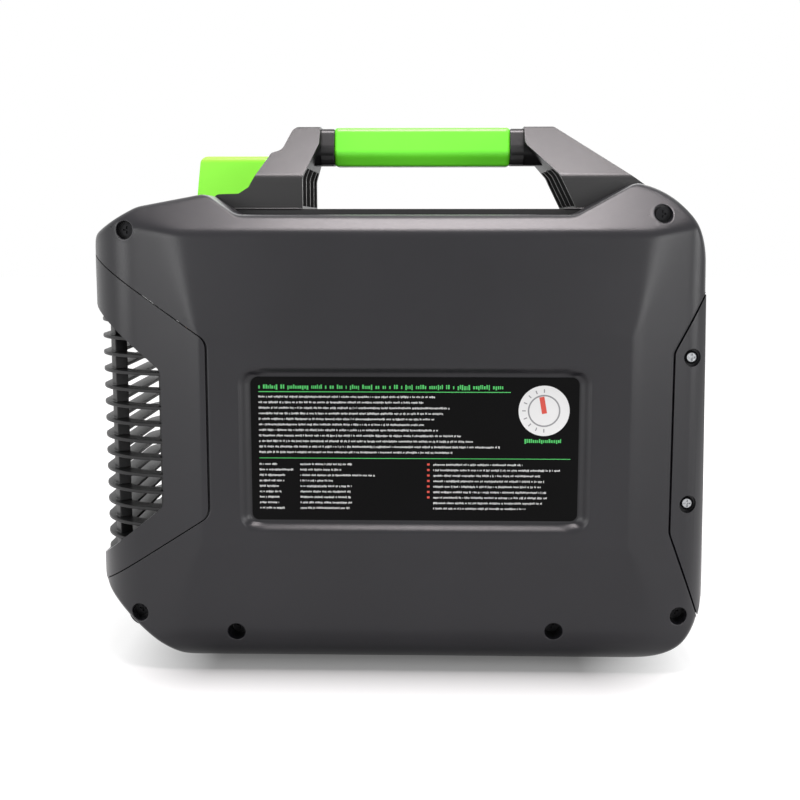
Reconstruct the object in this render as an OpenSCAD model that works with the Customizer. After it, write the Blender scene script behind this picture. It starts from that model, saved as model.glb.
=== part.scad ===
// Portable refrigerant recovery machine: an oil-less twin-cylinder compressor in a two-half moulded case.
// Frame: +X to the right as the rear label is read, -Y towards the reader, +Z up,
// origin on the ground under the middle of the case. Millimetres.

/* [Case] */
// Length of the case from the vent end to the cover end
case_length = 400; // [380:1:430]
// Depth of the case over its two flat faces
case_depth = 224; // [216:1:240]
// Height of the shoulder that carries the handle, above the ground
shoulder_height = 295.5; // [288:0.5:304]
// Rise of the horns beside the handle, above the shoulder
horn_rise = 20.5; // [16:0.5:25]
// Wall thickness of the mouldings
wall = 3; // [2.4:0.1:3.6]
// Gap at the parting lines between mouldings
parting_gap = 0.6; // [0.3:0.1:0.9]
// Length of the taper from the flat faces to the vent end
vent_taper = 75; // [70:1:82]
// Length of the taper from the flat faces to the cover end
cover_taper = 53; // [48:1:58]
// Lower edge of the flat faces, above the ground
pad_low = 85; // [75:1:90]
// Upper edge of the flat faces, above the ground
pad_high = 221; // [214:1:232]
// Drop of the line where the top chamfer starts, below the shoulder
chamfer_drop = 11; // [9:0.5:14]
// How far the case leans in at its foot
toe_in = 8; // [5:0.5:11]
// How far the case leans in below the top chamfer
lean_in = 4; // [2:0.5:6]

/* [Label bed] */
// Width of the label
label_width = 207; // [190:1:215]
// Height of the label
label_height = 92; // [80:1:96]
// Thickness of the label plate
label_thickness = 0.8; // [0.5:0.1:1.5]
// Middle of the label, to the right of the middle of the case
label_x = 11; // [6:0.5:14]
// Middle of the label, above the ground
label_z = 148.3; // [144:0.1:152]
// Depth of the recess that holds the label
bed_depth = 5; // [3:0.5:7]
// Width of the sloping rim of the recess
bed_rim = 7.5; // [5:0.5:9]

/* [Vent end] */
// Reach of the vent frame in from the vent end
vent_reach = 80; // [74:1:86]
// Width of the frame beside the window
vent_web = 30; // [26:1:34]
// Number of hoops in the grille
hoop_count = 15; // [13:1:15]
// Spacing of the hoops
hoop_pitch = 11; // [10:0.1:11.4]
// Thickness of a hoop
hoop_thickness = 2.2; // [1.6:0.1:3]
// Width of the hoop plate, measured inwards
hoop_width = 12; // [9:0.5:15]
// Height of the middle hoop above the ground
hoop_middle = 151; // [148:0.5:154]
// Width of a grille post
post_width = 9; // [7:0.5:11]

/* [End cover] */
// Reach of the end cover in from the cover end
cover_reach = 26; // [23:1:30]
// Number of intake slots
slot_count = 9; // [6:1:10]
// Spacing of the intake slots
slot_pitch = 11; // [9:0.5:12]
// Height of an intake slot
slot_height = 5; // [3:0.5:7]
// Width of an intake slot
slot_width = 110; // [90:1:120]

/* [Fasteners] */
// Shank diameter of the case screws
screw_diameter = 4; // [3:0.5:5]
// Head diameter of the case screws
screw_head = 8.4; // [7:0.2:9.4]
// Height of a screw head
screw_head_height = 2.8; // [2:0.2:3.4]
// Diameter of the deep screw holes
screw_well = 11.4; // [10:0.2:12.4]
// Outer diameter of the screw towers
tower_diameter = 17; // [15.5:0.5:19]
// Clearance around a screw shank
screw_play = 0.15; // [0.1:0.05:0.3]

/* [Handle] */
// Height of the top of the handle above the shoulder
handle_rise = 60; // [54:0.5:66]
// Length of the green grip
grip_length = 121; // [110:1:128]
// Height of the grip section
grip_height = 26.4; // [24:0.2:29]
// Width of the grip section
grip_width = 31; // [28:0.5:34]
// Middle of the grip, to the right of the middle of the case
grip_x = 14.6; // [11:0.2:18]
// Length of the collars beside the grip
collar_length = 9; // [6:0.5:11]
// Width of the legs at their foot
leg_width = 108; // [100:1:112]
// Width of the legs at their top
leg_top_width = 33; // [32:0.5:44]
// Thickness of the deck between the legs
deck_thickness = 4; // [3:0.5:5]
// Diameter of the bar inside the grip
bar_diameter = 16; // [13:0.5:18]

/* [Display hood] */
// Width of the hood at its foot
hood_width = 88; // [84:1:92]
// Height of the hood's top above the shoulder
hood_rise = 44.5; // [41:0.5:48]
// Width of the display window
lens_width = 66; // [55:1:72]
// Height of the display window
lens_height = 32; // [26:1:34]
// Thickness of the display window
lens_thickness = 2; // [1.5:0.1:3]

/* [Controls] */
// Depth of the control bay in the front face
bay_depth = 24; // [23:0.5:25]
// Width of the control bay
bay_width = 234; // [226:1:240]
// Height of the control bay
bay_height = 164; // [158:1:168]
// Middle of the bay, above the ground
bay_z = 146; // [142:1:150]
// Thickness of the control panel
panel_thickness = 1.6; // [1.2:0.1:2]
// Diameter of the selector knob
knob_diameter = 50; // [44:1:56]
// Height of the selector knob above the panel
knob_height = 19; // [16:0.5:20]
// Height of the knob axis above the ground
knob_z = 160; // [154:1:166]
// Diameter of the valve stem
stem_diameter = 8; // [7:0.5:9]
// Running clearance of shafts and stems, on the radius
running_gap = 0.05; // [0.03:0.01:0.08]
// Diameter of the push buttons
button_diameter = 20; // [17:0.5:22]
// Travel of the push buttons
button_travel = 2; // [1.5:0.1:2.5]
// Height of the push buttons above the panel
button_rise = 5; // [4:0.5:7]

/* [Ports] */
// Outside diameter of the flare thread
port_thread = 11.11; // [9:0.01:12]
// Length of the flare thread
port_length = 12; // [10:0.5:12.5]
// Width of the hexagon across its flats
port_hex = 17; // [14:0.5:20]
// Height of the port axes above the ground
port_z = 90; // [87:1:94]
// Distance of each port from the knob axis
port_spread = 62; // [56:1:68]

/* [Power entry] */
// Width of the power inlet opening
inlet_width = 24.5; // [24:0.1:27]
// Height of the power inlet opening
inlet_height = 17; // [16.6:0.1:18]
// Depth of the power inlet opening
inlet_depth = 17; // [15:0.5:19]
// Width of the rocker
rocker_width = 13; // [11:0.5:15]
// Height of the rocker
rocker_height = 22; // [19:0.5:24]
// Swing of the rocker from one end to the other
rocker_swing = 20; // [14:1:24]

/* [Feet] */
// Height of the rubber feet
foot_height = 4; // [3:0.5:6]
// Diameter of the rubber feet
foot_diameter = 24; // [20:1:28]
// Distance of the left feet from the vent end
foot_left = 101; // [96:1:108]
// Distance of the right feet from the cover end
foot_right = 63; // [60:1:70]
// Spacing of the feet across the case
foot_spread_y = 112; // [100:1:116]

/* [Works] */
// Height of the motor axis above the ground
axis_height = 140; // [136:1:144]
// Diameter of the motor
motor_diameter = 104; // [96:1:108]
// Length of the motor
motor_length = 76; // [70:1:80]
// Diameter of the motor shaft
shaft_diameter = 12; // [10:0.5:14]
// Diameter of the cooling fan
fan_diameter = 150; // [140:1:156]
// Number of fan blades
fan_blades = 7; // [5:1:9]
// Outside diameter of the refrigerant pipes
pipe_diameter = 9.5; // [8:0.5:10]
// Number of condenser tubes, an even number
tube_count = 8; // [6:2:8]
// Number of condenser fins
fin_count = 25; // [15:2:31]
// Thickness of the steel tray
tray_thickness = 2; // [1.5:0.1:2.5]
// Height of the vibration mounts
mount_height = 12; // [9:0.5:14]

/* [Hidden] */
$fn = 48;

// Colours
case_grey = "#47474b";
trim_black = "#1d1d1f";
lime = "#6fe02a";
steel = "#b8bbc0";
zinc = "#a9adb3";
brass = "#c8a24a";
copper = "#b8703c";
cast_grey = "#8b8f94";
rubber_black = "#151515";
board_green = "#1d5b34";

// Case frame
half_l = case_length / 2;
half_d = case_depth / 2;
case_bottom = foot_height;
pad_left = half_l - vent_taper;
pad_right = half_l - cover_taper;
horn_z = shoulder_height + horn_rise;
chamfer_z = shoulder_height - chamfer_drop;
big = 2 * case_length;
// The cross section and the plan stand this much proud of the side outline, so that only one face cuts
proud = 0.4;
arc_step = 8;

// Side outline of the case, seen from the label side
foot_corner = 50;
crown_lean = 7;
crown_drop = 30;
crown_corner = 54;
crown_brow = 30;
crown_brow_drop = 5;
chamfer_run = 60;
chamfer_rise = 50;
right_horn = 48;
right_ramp = 40;
left_horn = 77;
left_horn_drop = 7;
left_ramp = 21;
left_brow = 34;
left_brow_drop = 15.5;
left_cheek_drop = 35;
side = [
    [-half_l + chamfer_run, case_bottom, 20],
    [half_l, case_bottom, foot_corner],
    [half_l - crown_lean, horn_z - crown_drop, crown_corner],
    [half_l - crown_brow, horn_z - crown_brow_drop, 45],
    [half_l - right_horn, horn_z, 10],
    [half_l - right_horn - right_ramp, shoulder_height, 16],
    [-half_l + left_horn + left_ramp, shoulder_height, 14],
    [-half_l + left_horn, horn_z - left_horn_drop, 12],
    [-half_l + left_brow, horn_z - left_brow_drop, 20],
    [-half_l, horn_z - left_cheek_drop, 12],
    [-half_l, case_bottom + chamfer_rise, 25]
];

// Cross section of the case
section_top = horn_z + 10;
section_top_y = half_d - lean_in - (section_top - chamfer_z);
section = [
    [-half_d + toe_in, case_bottom - proud, 30],
    [half_d - toe_in, case_bottom - proud, 30],
    [half_d, pad_low, 60],
    [half_d, pad_high, 60],
    [half_d - lean_in, chamfer_z, 10],
    [section_top_y, section_top, 0],
    [-section_top_y, section_top, 0],
    [-half_d + lean_in, chamfer_z, 10],
    [-half_d, pad_high, 60],
    [-half_d, pad_low, 60]
];

// Plan of the case
vent_set = 20;
vent_corner = 48;
cover_set = 14;
cover_corner = 25;
plan_l = half_l + proud;
plan_d = half_d + proud;
plan = [
    [-plan_l, -plan_d + vent_set, vent_corner],
    [-pad_left, -plan_d, 60],
    [pad_right, -plan_d, 60],
    [plan_l, -plan_d + cover_set, cover_corner],
    [plan_l, plan_d - cover_set, cover_corner],
    [pad_right, plan_d, 60],
    [-pad_left, plan_d, 60],
    [-plan_l, plan_d - vent_set, vent_corner]
];

// Parting lines of the two end mouldings and the window of the vent frame, seen from the label side
outside = half_l + 20;
vent_x = -half_l + vent_reach;
vent_high = hoop_middle + 66.5;
vent_low = hoop_middle - 46;
vent_rise = 0.67;
vent_zone = [
    [-outside, vent_high + (vent_x + outside) * vent_rise],
    [-outside, vent_low - (vent_x + outside) * vent_rise],
    [vent_x, vent_low, 10],
    [vent_x, vent_high, 10]
];
window_x = vent_x - vent_web;
window_high = hoop_middle + 46.5;
window_low = hoop_middle - 41;
window_rise = 0.825;
vent_window = [
    [-outside, window_high + (window_x + outside) * window_rise],
    [-outside, window_low - (window_x + outside) * window_rise],
    [window_x, window_low, 8],
    [window_x, window_high, 8]
];
cover_x = half_l - cover_reach;
cover_high = 210;
cover_low = 94;
cover_zone = [
    [cover_x, cover_high, 10],
    [cover_x, cover_low, 10],
    [outside, cover_low - (outside - cover_x) * 2.67],
    [outside, cover_high + (outside - cover_x) * 1.82]
];

// Case screws: towers, wells and seats
well_seat = -half_d + 24;
pilot_depth = 24;
tower_depth = pilot_depth + 4;
tower_points = [
    [-half_l + 28, shoulder_height - 9.5],
    [half_l - 34, shoulder_height + 0.5],
    [-half_l + 31.5, case_bottom + 34],
    [-half_l + 95.5, case_bottom + 23],
    [half_l - 99, case_bottom + 25],
    [half_l - 18.5, case_bottom + 35]
];

// End cover screws
cover_screw_x = half_l - 14.5;
cover_screw_z = [cover_low + 18.5, cover_high - 3.5];
cover_slope = cover_set / (plan_l - pad_right);
function cover_face(x) = plan_d - (x - pad_right) * cover_slope;
cover_screw_sink = 6.5;
cover_seat = cover_face(cover_screw_x) - cover_screw_sink;
cover_boss_depth = 6;
cover_boss = cover_seat - cover_boss_depth;
tab_play = 0.2;
tab_face = cover_boss - tab_play;
tab_thickness = 5;
tab_half = 9;
tab_end = cover_screw_x + 5;
tab_root = cover_x - 16;

// Valley in the top that takes the handle deck
valley_left = -half_l + 74;
valley_right = half_l - 38;
deck_play = 0.5;
deck_width = leg_width + 6;
valley_width = deck_width + 2 * deck_play;
floor_z = case_bottom + wall;

label_play = 0.6;
label_corner = 4.5;

// Control bay and what stands in it
bay_x = label_x;
bay_corner = 14;
bay_floor = half_d - bay_depth;
bay_back = bay_floor - wall;
panel_face = bay_floor + panel_thickness;
panel_play = 0.8;
knob_x = bay_x;
button_x = bay_x - 78;
button_offset = 18;
start_z = knob_z + button_offset;
stop_z = knob_z - button_offset;
button_play = 0.4;
stem_hole = stem_diameter + 2;
shank_diameter = port_thread - 1.2;
shank_hole = shank_diameter + 0.6;
shank_depth = 12;

// Works inside
tray_top = floor_z + tray_thickness;
sole_z = tray_top + mount_height;
sole_thickness = 6;
motor_back = 14;
motor_front = motor_back - motor_length;
fan_hub_length = 22;
fan_front = motor_front - fan_hub_length - 22;
crank_right = 90;
crank_width = 76;
crank_top = axis_height + 38;
barrel_height = 44;
head_z = crank_top + barrel_height;
head_height = 22;
cylinder_x = [33, 71];
condenser_x = vent_x - 13;
condenser_width = 24;
tube_pitch = 22;
tube_low = hoop_middle - tube_pitch * (tube_count - 1) / 2;
tube_high = tube_low + tube_pitch * (tube_count - 1);
tube_end = 74;
pipe_bend = 9.5;

// Outline helpers: a corner is [x, y, radius]
function unit(v) = v / norm(v);
function flat(p) = [p.x, p.y];
function before(list, i) = list[(i + len(list) - 1) % len(list)];
function after(list, i) = list[(i + 1) % len(list)];
function radius_of(p) = len(p) > 2 ? p[2] : 0;
function corner_arc(a, b, c, r) =
    r <= 0 ? [b] :
    let (
        u = unit(a - b),
        w = unit(c - b),
        half = acos(u * w) / 2,
        centre = b + unit(u + w) * r / sin(half),
        start = b + u * r / tan(half) - centre,
        end = b + w * r / tan(half) - centre,
        from = atan2(start.y, start.x),
        turn = atan2(end.y, end.x) - from,
        sweep = turn > 180 ? turn - 360 : turn < -180 ? turn + 360 : turn,
        steps = max(2, ceil(abs(sweep) / arc_step))
    )
    [for (i = [0 : steps]) centre + r * [cos(from + sweep * i / steps), sin(from + sweep * i / steps)]];
function rounded(list) =
    [for (i = [0 : len(list) - 1])
        each corner_arc(flat(before(list, i)), flat(list[i]), flat(after(list, i)), radius_of(list[i]))];
function inward(a, b) = let (d = unit(b - a)) [-d.y, d.x];
function inset_corner(a, b, c, r, t) =
    let (
        n = inward(a, b),
        m = inward(b, c),
        shift = (n + m) / (1 + n * m),
        convex = cross(b - a, c - b) > 0,
        left = convex ? r - t : r + t
    )
    [b.x + t * shift.x, b.y + t * shift.y, r <= 0 ? 0 : max(left, 0.4)];
function inset(list, t) =
    [for (i = [0 : len(list) - 1])
        inset_corner(flat(before(list, i)), flat(list[i]), flat(after(list, i)), radius_of(list[i]), t)];
function plate(w, h, r) = [[-w / 2, -h / 2, r], [w / 2, -h / 2, r], [w / 2, h / 2, r], [-w / 2, h / 2, r]];

// Extrusions of an outline along each axis
module along_x(list, length = big) {
    rotate([90, 0, 90]) linear_extrude(height = length, center = true) polygon(rounded(list));
}
module along_y(list, length = big) {
    rotate([90, 0, 0]) linear_extrude(height = length, center = true) polygon(rounded(list));
}
module along_z(list, length = big) {
    linear_extrude(height = length, center = true) polygon(rounded(list));
}
// A box from one corner to the other
module span(low, high) {
    translate(low) cube(high - low);
}
// A cylinder from y0 to y1 along Y at [x, z]
module rod_y(p, y0, y1, d) {
    translate([p.x, y0, p.y]) rotate([-90, 0, 0]) cylinder(d = d, h = y1 - y0);
}
// A cylinder from x0 to x1 along X at [y, z]
module rod_x(p, x0, x1, d) {
    translate([x0, p.x, p.y]) rotate([0, 90, 0]) cylinder(d = d, h = x1 - x0);
}
// A pan head screw that points down from its seat at the origin
cross_width = 1.2;
cross_depth = 1.4;
module pan_screw(length) {
    difference() {
        union() {
            cylinder(d = screw_head, h = screw_head_height);
            translate([0, 0, -length]) cylinder(d = screw_diameter, h = length);
        }
        for (turn = [0, 90])
            rotate([0, 0, turn]) translate([0, 0, screw_head_height])
                cube([screw_head * 0.56, cross_width, 2 * cross_depth], center = true);
    }
}
// A round pipe along axis-parallel legs with round elbows
module pipe(route, d) {
    last = len(route) - 1;
    for (i = [0 : last - 1]) {
        dir = unit(route[i + 1] - route[i]);
        from = route[i] + (i > 0 ? dir * pipe_bend : [0, 0, 0]);
        to = route[i + 1] - (i < last - 1 ? dir * pipe_bend : [0, 0, 0]);
        turn_y = dir.x != 0 ? 90 * sign(dir.x) : dir.z < 0 ? 180 : 0;
        translate(from) rotate([dir.y != 0 ? -90 * sign(dir.y) : 0, turn_y, 0])
            cylinder(d = d, h = norm(to - from));
    }
    for (i = [1 : 1 : last - 1]) {
        into = unit(route[i] - route[i - 1]);
        out = unit(route[i + 1] - route[i]);
        up = cross(into, out);
        centre = route[i] + (out - into) * pipe_bend;
        multmatrix([
            [-out.x, into.x, up.x, centre.x],
            [-out.y, into.y, up.y, centre.y],
            [-out.z, into.z, up.z, centre.z],
            [0, 0, 0, 1]
        ])
            rotate_extrude(angle = 90) translate([pipe_bend, 0]) circle(d = d);
    }
}

// The whole case as one solid: the side outline, the cross section and the plan cut each other
module form(t = 0) {
    intersection() {
        along_y(inset(side, t));
        along_x(inset(section, t));
        along_z(inset(plan, t));
    }
}
module rear_half() {
    span([-big, -big, -big], [big, 0, big]);
}
module front_half() {
    span([-big, 0, -big], [big, big, big]);
}
// Valley for the handle, with its wall when t is the wall thickness
module valley(t = 0) {
    span([valley_left - t, -valley_width / 2 - t, shoulder_height - t],
        [valley_right + t, valley_width / 2 + t, big]);
}
// Recess for the label: sloping rim all round, with its wall when t is the wall thickness
module label_bed(t = 0) {
    w = label_width / 2 + label_play + t;
    h = label_height / 2 + label_play + t;
    deep = bed_depth + t;
    lip = bed_rim * (deep + 1) / bed_depth;
    mouth = -half_d - 1;
    bed = -half_d + deep;
    translate([label_x, 0, label_z]) intersection() {
        along_z([[-w - lip, mouth], [w + lip, mouth], [w, bed], [-w, bed]], label_height * 2);
        along_x([[mouth, -h - lip], [bed, -h], [bed, h], [mouth, h + lip]], label_width * 2);
    }
}
// Control bay in the front face, with its wall when t is the wall thickness
module bay(t = 0) {
    translate([bay_x, bay_floor - t + big / 2, bay_z])
        along_y(plate(bay_width + 2 * t, bay_height + 2 * t, bay_corner + t));
}
// Tabs on the case halves that the end cover screws into
module cover_tabs(side_y) {
    mirror([0, side_y > 0 ? 1 : 0, 0])
        for (z = cover_screw_z) difference() {
            union() {
                span([tab_root, -tab_face, z - tab_half], [tab_end, -tab_face + tab_thickness, z + tab_half]);
                span([tab_root, -half_d + wall / 2, z - tab_half],
                    [cover_x - parting_gap, -tab_face + tab_thickness, z + tab_half]);
            }
            rod_y([cover_screw_x, z], -big, 0, screw_diameter + 2 * screw_play);
        }
}
// Ribs that tie each screw tower to the floor or the roof of the case
module tower_ribs(y0, y1, grow = 0) {
    half = wall / 2 + grow;
    for (p = tower_points) {
        low = p.y < shoulder_height / 2;
        span([p.x - half, y0 - grow, low ? -big : p.y], [p.x + half, y1 + grow, low ? p.y : big]);
    }
}
module handle_screw_holes(z0, z1) {
    for (p = handle_screw_points())
        translate([p.x, p.y, z0]) cylinder(d = screw_diameter + 2 * screw_play, h = z1 - z0);
}
function handle_screw_points() =
    [for (x = [valley_left + 14, valley_right - 26], y = [-0.33, 0.33]) [x, y * leg_width]];
function foot_points() =
    [for (x = [-half_l + foot_left, half_l - foot_right], y = [-0.5, 0.5]) [x, y * foot_spread_y]];
module foot_screw_holes() {
    for (p = foot_points())
        translate([p.x, p.y, 0])
            cylinder(d = screw_diameter + 2 * screw_play, h = tray_top + foot_screw_tip + 1);
}

// One half of the case before its own features: the hollow keeps the solids given as children
module case_half() {
    difference() {
        children(0);
        difference() {
            form(wall);
            children(1);
        }
        along_y(inset(vent_zone, -parting_gap / 2));
        valley();
        handle_screw_holes(shoulder_height - wall - 1, shoulder_height + 1);
        foot_screw_holes();
    }
}

module rear_shell() color(case_grey) difference() {
    case_half() {
        intersection() {
            form();
            rear_half();
        }
        union() {
            for (p = tower_points) rod_y(p, -big, 1, tower_diameter);
            tower_ribs(-pilot_depth, 1);
            label_bed(wall);
            valley(wall);
            cover_tabs(-1);
        }
    }
    difference() {
        along_y(inset(cover_zone, -parting_gap / 2));
        cover_tabs(-1);
    }
    label_bed();
    for (p = tower_points) {
        rod_y(p, -half_d - 1, well_seat, screw_well);
        rod_y(p, well_seat - 1, 1, screw_diameter + 2 * screw_play);
    }
}

module front_shell() color(case_grey) difference() {
    case_half() {
        intersection() {
            form();
            front_half();
        }
        union() {
            for (p = tower_points) rod_y(p, -1, tower_depth, tower_diameter);
            tower_ribs(-1, tower_depth);
            bay(wall);
            valley(wall);
            cover_tabs(1);
        }
    }
    difference() {
        along_y(inset(cover_zone, -parting_gap / 2));
        cover_tabs(1);
    }
    bay();
    for (p = tower_points) rod_y(p, -1, pilot_depth, screw_diameter + 2 * screw_play);
    panel_holes(bay_back - 1, bay_floor + 1);
    translate([hood_x, hood_cable_y, chamfer_z]) cylinder(d = hood_cable, h = big);
}

module panel_holes(y0, y1) {
    rod_y([knob_x, knob_z], y0, y1, stem_hole);
    for (z = [start_z, stop_z]) rod_y([button_x, z], y0, y1, button_diameter + 2 * button_play);
    for (s = [-1, 1]) rod_y([knob_x + s * port_spread, port_z], y0, y1, shank_hole);
}

// Vent end: a moulded frame, open to the left and right through, and the hoop grille inside it
tongue_height = 30;
tongue_inset = 26;
tongue_thickness = 5;
tongue_left = window_x + 10;
tongue_right = vent_x + 9;
module vent_frame() color(case_grey) {
    difference() {
        intersection() {
            form();
            along_y(inset(vent_zone, parting_gap / 2));
        }
        form(wall);
        along_y(vent_window);
    }
    tongue_y = half_d - wall - tab_play;
    for (s = [0, 1], z = [vent_low + tongue_inset, vent_high - tongue_inset]) mirror([0, s, 0])
        span([tongue_left, -tongue_y, z - tongue_height / 2],
            [tongue_right, -tongue_y + tongue_thickness, z + tongue_height / 2]);
}

hoop_play = 0.3;
hoop_low = hoop_middle - hoop_pitch * (hoop_count - 1) / 2;
hoop_right = window_x + 6;
grille_height = hoop_pitch * (hoop_count - 1) + hoop_thickness;
vent_slope = atan2(vent_set, plan_l - pad_left);
corner_y = plan_d - vent_set - vent_corner / tan(45 + vent_slope / 2);
post_turn = 32;
module hoop_outline(grow) {
    polygon(rounded(inset(plan, wall + hoop_play + grow)));
}
module vent_grille() color(trim_black) intersection() {
    union() {
        for (i = [0 : hoop_count - 1]) translate([0, 0, hoop_low + i * hoop_pitch - hoop_thickness / 2])
            linear_extrude(height = hoop_thickness) difference() {
                hoop_outline(0);
                hoop_outline(hoop_width);
            }
        translate([0, 0, hoop_low - hoop_thickness / 2]) linear_extrude(height = grille_height)
            intersection() {
                difference() {
                    hoop_outline(4);
                    hoop_outline(hoop_width);
                }
                union() {
                    for (s = [-1, 1]) {
                        translate([-plan_l + vent_corner, s * corner_y]) rotate(180 - s * post_turn)
                            translate([0, -post_width / 2]) square([big, post_width]);
                        translate([hoop_right - post_width, s > 0 ? 0 : -big]) square([post_width, big]);
                    }
                }
            }
    }
    span([-big, -big, -big], [hoop_right, big, big]);
    form(wall + hoop_play);
}

// Cover end: a shell with intake slots, a recessed power panel and bosses for its screws
power_z = cover_low + 6;
power_recess = 6;
power_panel_width = 118;
power_panel_height = 48;
power_corner = 6;
cover_boss_diameter = 15;
power_face = half_l - power_recess;
power_inlet_y = -26;
switch_y = 30;
slot_low = power_z + 46;
module end_cover() color(case_grey) difference() {
    union() {
        difference() {
            intersection() {
                form();
                along_y(inset(cover_zone, parting_gap / 2));
            }
            form(wall);
        }
        intersection() {
            form();
            union() {
                for (s = [-1, 1], z = cover_screw_z)
                    rod_y([cover_screw_x, z], s < 0 ? -big : cover_boss, s < 0 ? -cover_boss : big,
                        cover_boss_diameter);
                translate([power_face - wall + big / 2, 0, power_z])
                    along_x(plate(power_panel_width + 2 * wall, power_panel_height + 2 * wall,
                        power_corner + wall));
            }
        }
    }
    for (s = [-1, 1], z = cover_screw_z) {
        rod_y([cover_screw_x, z], s < 0 ? -big : cover_seat, s < 0 ? -cover_seat : big, screw_well);
        rod_y([cover_screw_x, z], s < 0 ? -big : 0, s < 0 ? 0 : big, screw_diameter + 2 * screw_play);
    }
    for (i = [0 : slot_count - 1]) translate([half_l, 0, slot_low + i * slot_pitch])
        along_x(plate(slot_width, slot_height, slot_height / 2 - 0.2), 4 * wall);
    translate([power_face + big / 2, 0, power_z])
        along_x(plate(power_panel_width, power_panel_height, power_corner));
    translate([power_face, power_inlet_y, power_z])
        along_x(plate(inlet_body_width + 2 * entry_play, inlet_body_height + 2 * entry_play, inlet_corner),
            6 * wall);
    translate([power_face, switch_y, power_z])
        along_x(plate(switch_body_width + 2 * entry_play, switch_body_height + 2 * entry_play, 1.5),
            6 * wall);
}

// Handle: a moulded bracket with two hollow ribbed legs, a bar and the sleeve on it
handle_height = shoulder_height + handle_rise;
grip_left = grip_x - grip_length / 2;
grip_right = grip_x + grip_length / 2;
grip_z = handle_height - grip_height / 2;
deck_top = shoulder_height + deck_thickness;
leg_crease = shoulder_height + 0.415 * handle_rise;
leg_inner_top = shoulder_height + 0.8 * handle_rise;
leg_notch = shoulder_height + 0.73 * handle_rise;
leg_step = shoulder_height + 0.69 * handle_rise;
leg_ledge = shoulder_height + 0.235 * handle_rise;
left_foot = valley_left + 2;
left_inner = grip_left - 18;
right_inner = grip_right + 42;
left_leg = [
    [left_foot, deck_top - 1],
    [left_inner, deck_top - 1],
    [left_inner, leg_crease, 8],
    [grip_left - collar_length, leg_inner_top, 6],
    [grip_left - collar_length, handle_height],
    [grip_left - 27, handle_height, 6],
    [grip_left - 33.5, leg_notch, 6],
    [grip_left - 40.5, leg_step, 2],
    [grip_left - 56, leg_ledge, 4],
    [left_foot + 2, leg_ledge - 0.5, 4]
];
right_leg = [
    [right_inner, deck_top - 1],
    [valley_right - 1, deck_top - 1],
    [valley_right - 1, horn_z - 1, 2],
    [grip_right + 29, handle_height, 6],
    [grip_right + collar_length, handle_height],
    [grip_right + collar_length, leg_inner_top, 6],
    [grip_right + 30, leg_crease + 2, 10]
];
leg_section = [
    [-leg_width / 2, shoulder_height - 1],
    [leg_width / 2, shoulder_height - 1],
    [leg_width / 2, leg_crease, 8],
    [leg_top_width / 2, handle_height, 3],
    [-leg_top_width / 2, handle_height, 3],
    [-leg_width / 2, leg_crease, 8]
];
leg_wall = 4;
leg_rib = 3;
leg_core_top = leg_crease + 6;
left_core = [
    [left_foot + 14, deck_top + 2],
    [grip_left, deck_top + 2],
    [grip_left, leg_core_top],
    [grip_left - 42, leg_core_top, 3]
];
right_core = [
    [grip_right, deck_top + 2],
    [valley_right - 22, deck_top + 2],
    [grip_right + 54, leg_core_top, 3],
    [grip_right, leg_core_top]
];
function grip_outline(shrink) =
    let (w = grip_width / 2 - shrink, h = grip_height / 2 - shrink)
    [[-w + 3, -h, 5], [w - 3, -h, 5], [w, -1, 7], [w - 6, h, 5], [-w + 6, h, 5], [-w, -1, 7]];
module handle_bracket() color(case_grey) difference() {
    union() {
        span([valley_left + deck_play, -deck_width / 2, shoulder_height],
            [valley_right - deck_play, deck_width / 2, deck_top]);
        intersection() {
            union() {
                along_y(left_leg);
                along_y(right_leg);
            }
            along_x(leg_section);
        }
        for (x = [grip_left - collar_length, grip_right]) translate([x + collar_length / 2, 0, grip_z])
            along_x(grip_outline(1), collar_length);
    }
    difference() {
        intersection() {
            union() {
                along_y(left_core);
                along_y(right_core);
            }
            along_x(inset(leg_section, leg_wall));
        }
        for (k = [-1 : 1])
            span([-big, k * leg_width / 4 - leg_rib / 2, 0], [big, k * leg_width / 4 + leg_rib / 2, big]);
    }
    rod_x([0, grip_z], bar_left, bar_right, bar_diameter + bar_play);
    handle_screw_holes(shoulder_height - 1, shoulder_height + handle_screw_grip + 1);
}
bar_play = 0.3;
bar_seat = 8;
bar_left = grip_left - collar_length - bar_seat;
bar_right = grip_right + collar_length + bar_seat;
bar_wall = 2;
module handle_bar() color(steel) difference() {
    rod_x([0, grip_z], bar_left + 0.5, bar_right - 0.5, bar_diameter);
    rod_x([0, grip_z], bar_left, bar_right, bar_diameter - 2 * bar_wall);
}
module handle_grip() color(lime) difference() {
    translate([grip_x, 0, grip_z]) along_x(grip_outline(0), grip_length);
    rod_x([0, grip_z], grip_left - 1, grip_right + 1, bar_diameter + bar_play);
}
handle_screw_grip = 7;
module handle_screws() color(zinc)
    for (p = handle_screw_points()) translate([p.x, p.y, shoulder_height - wall]) rotate([180, 0, 0])
        pan_screw(wall + handle_screw_grip);

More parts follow.
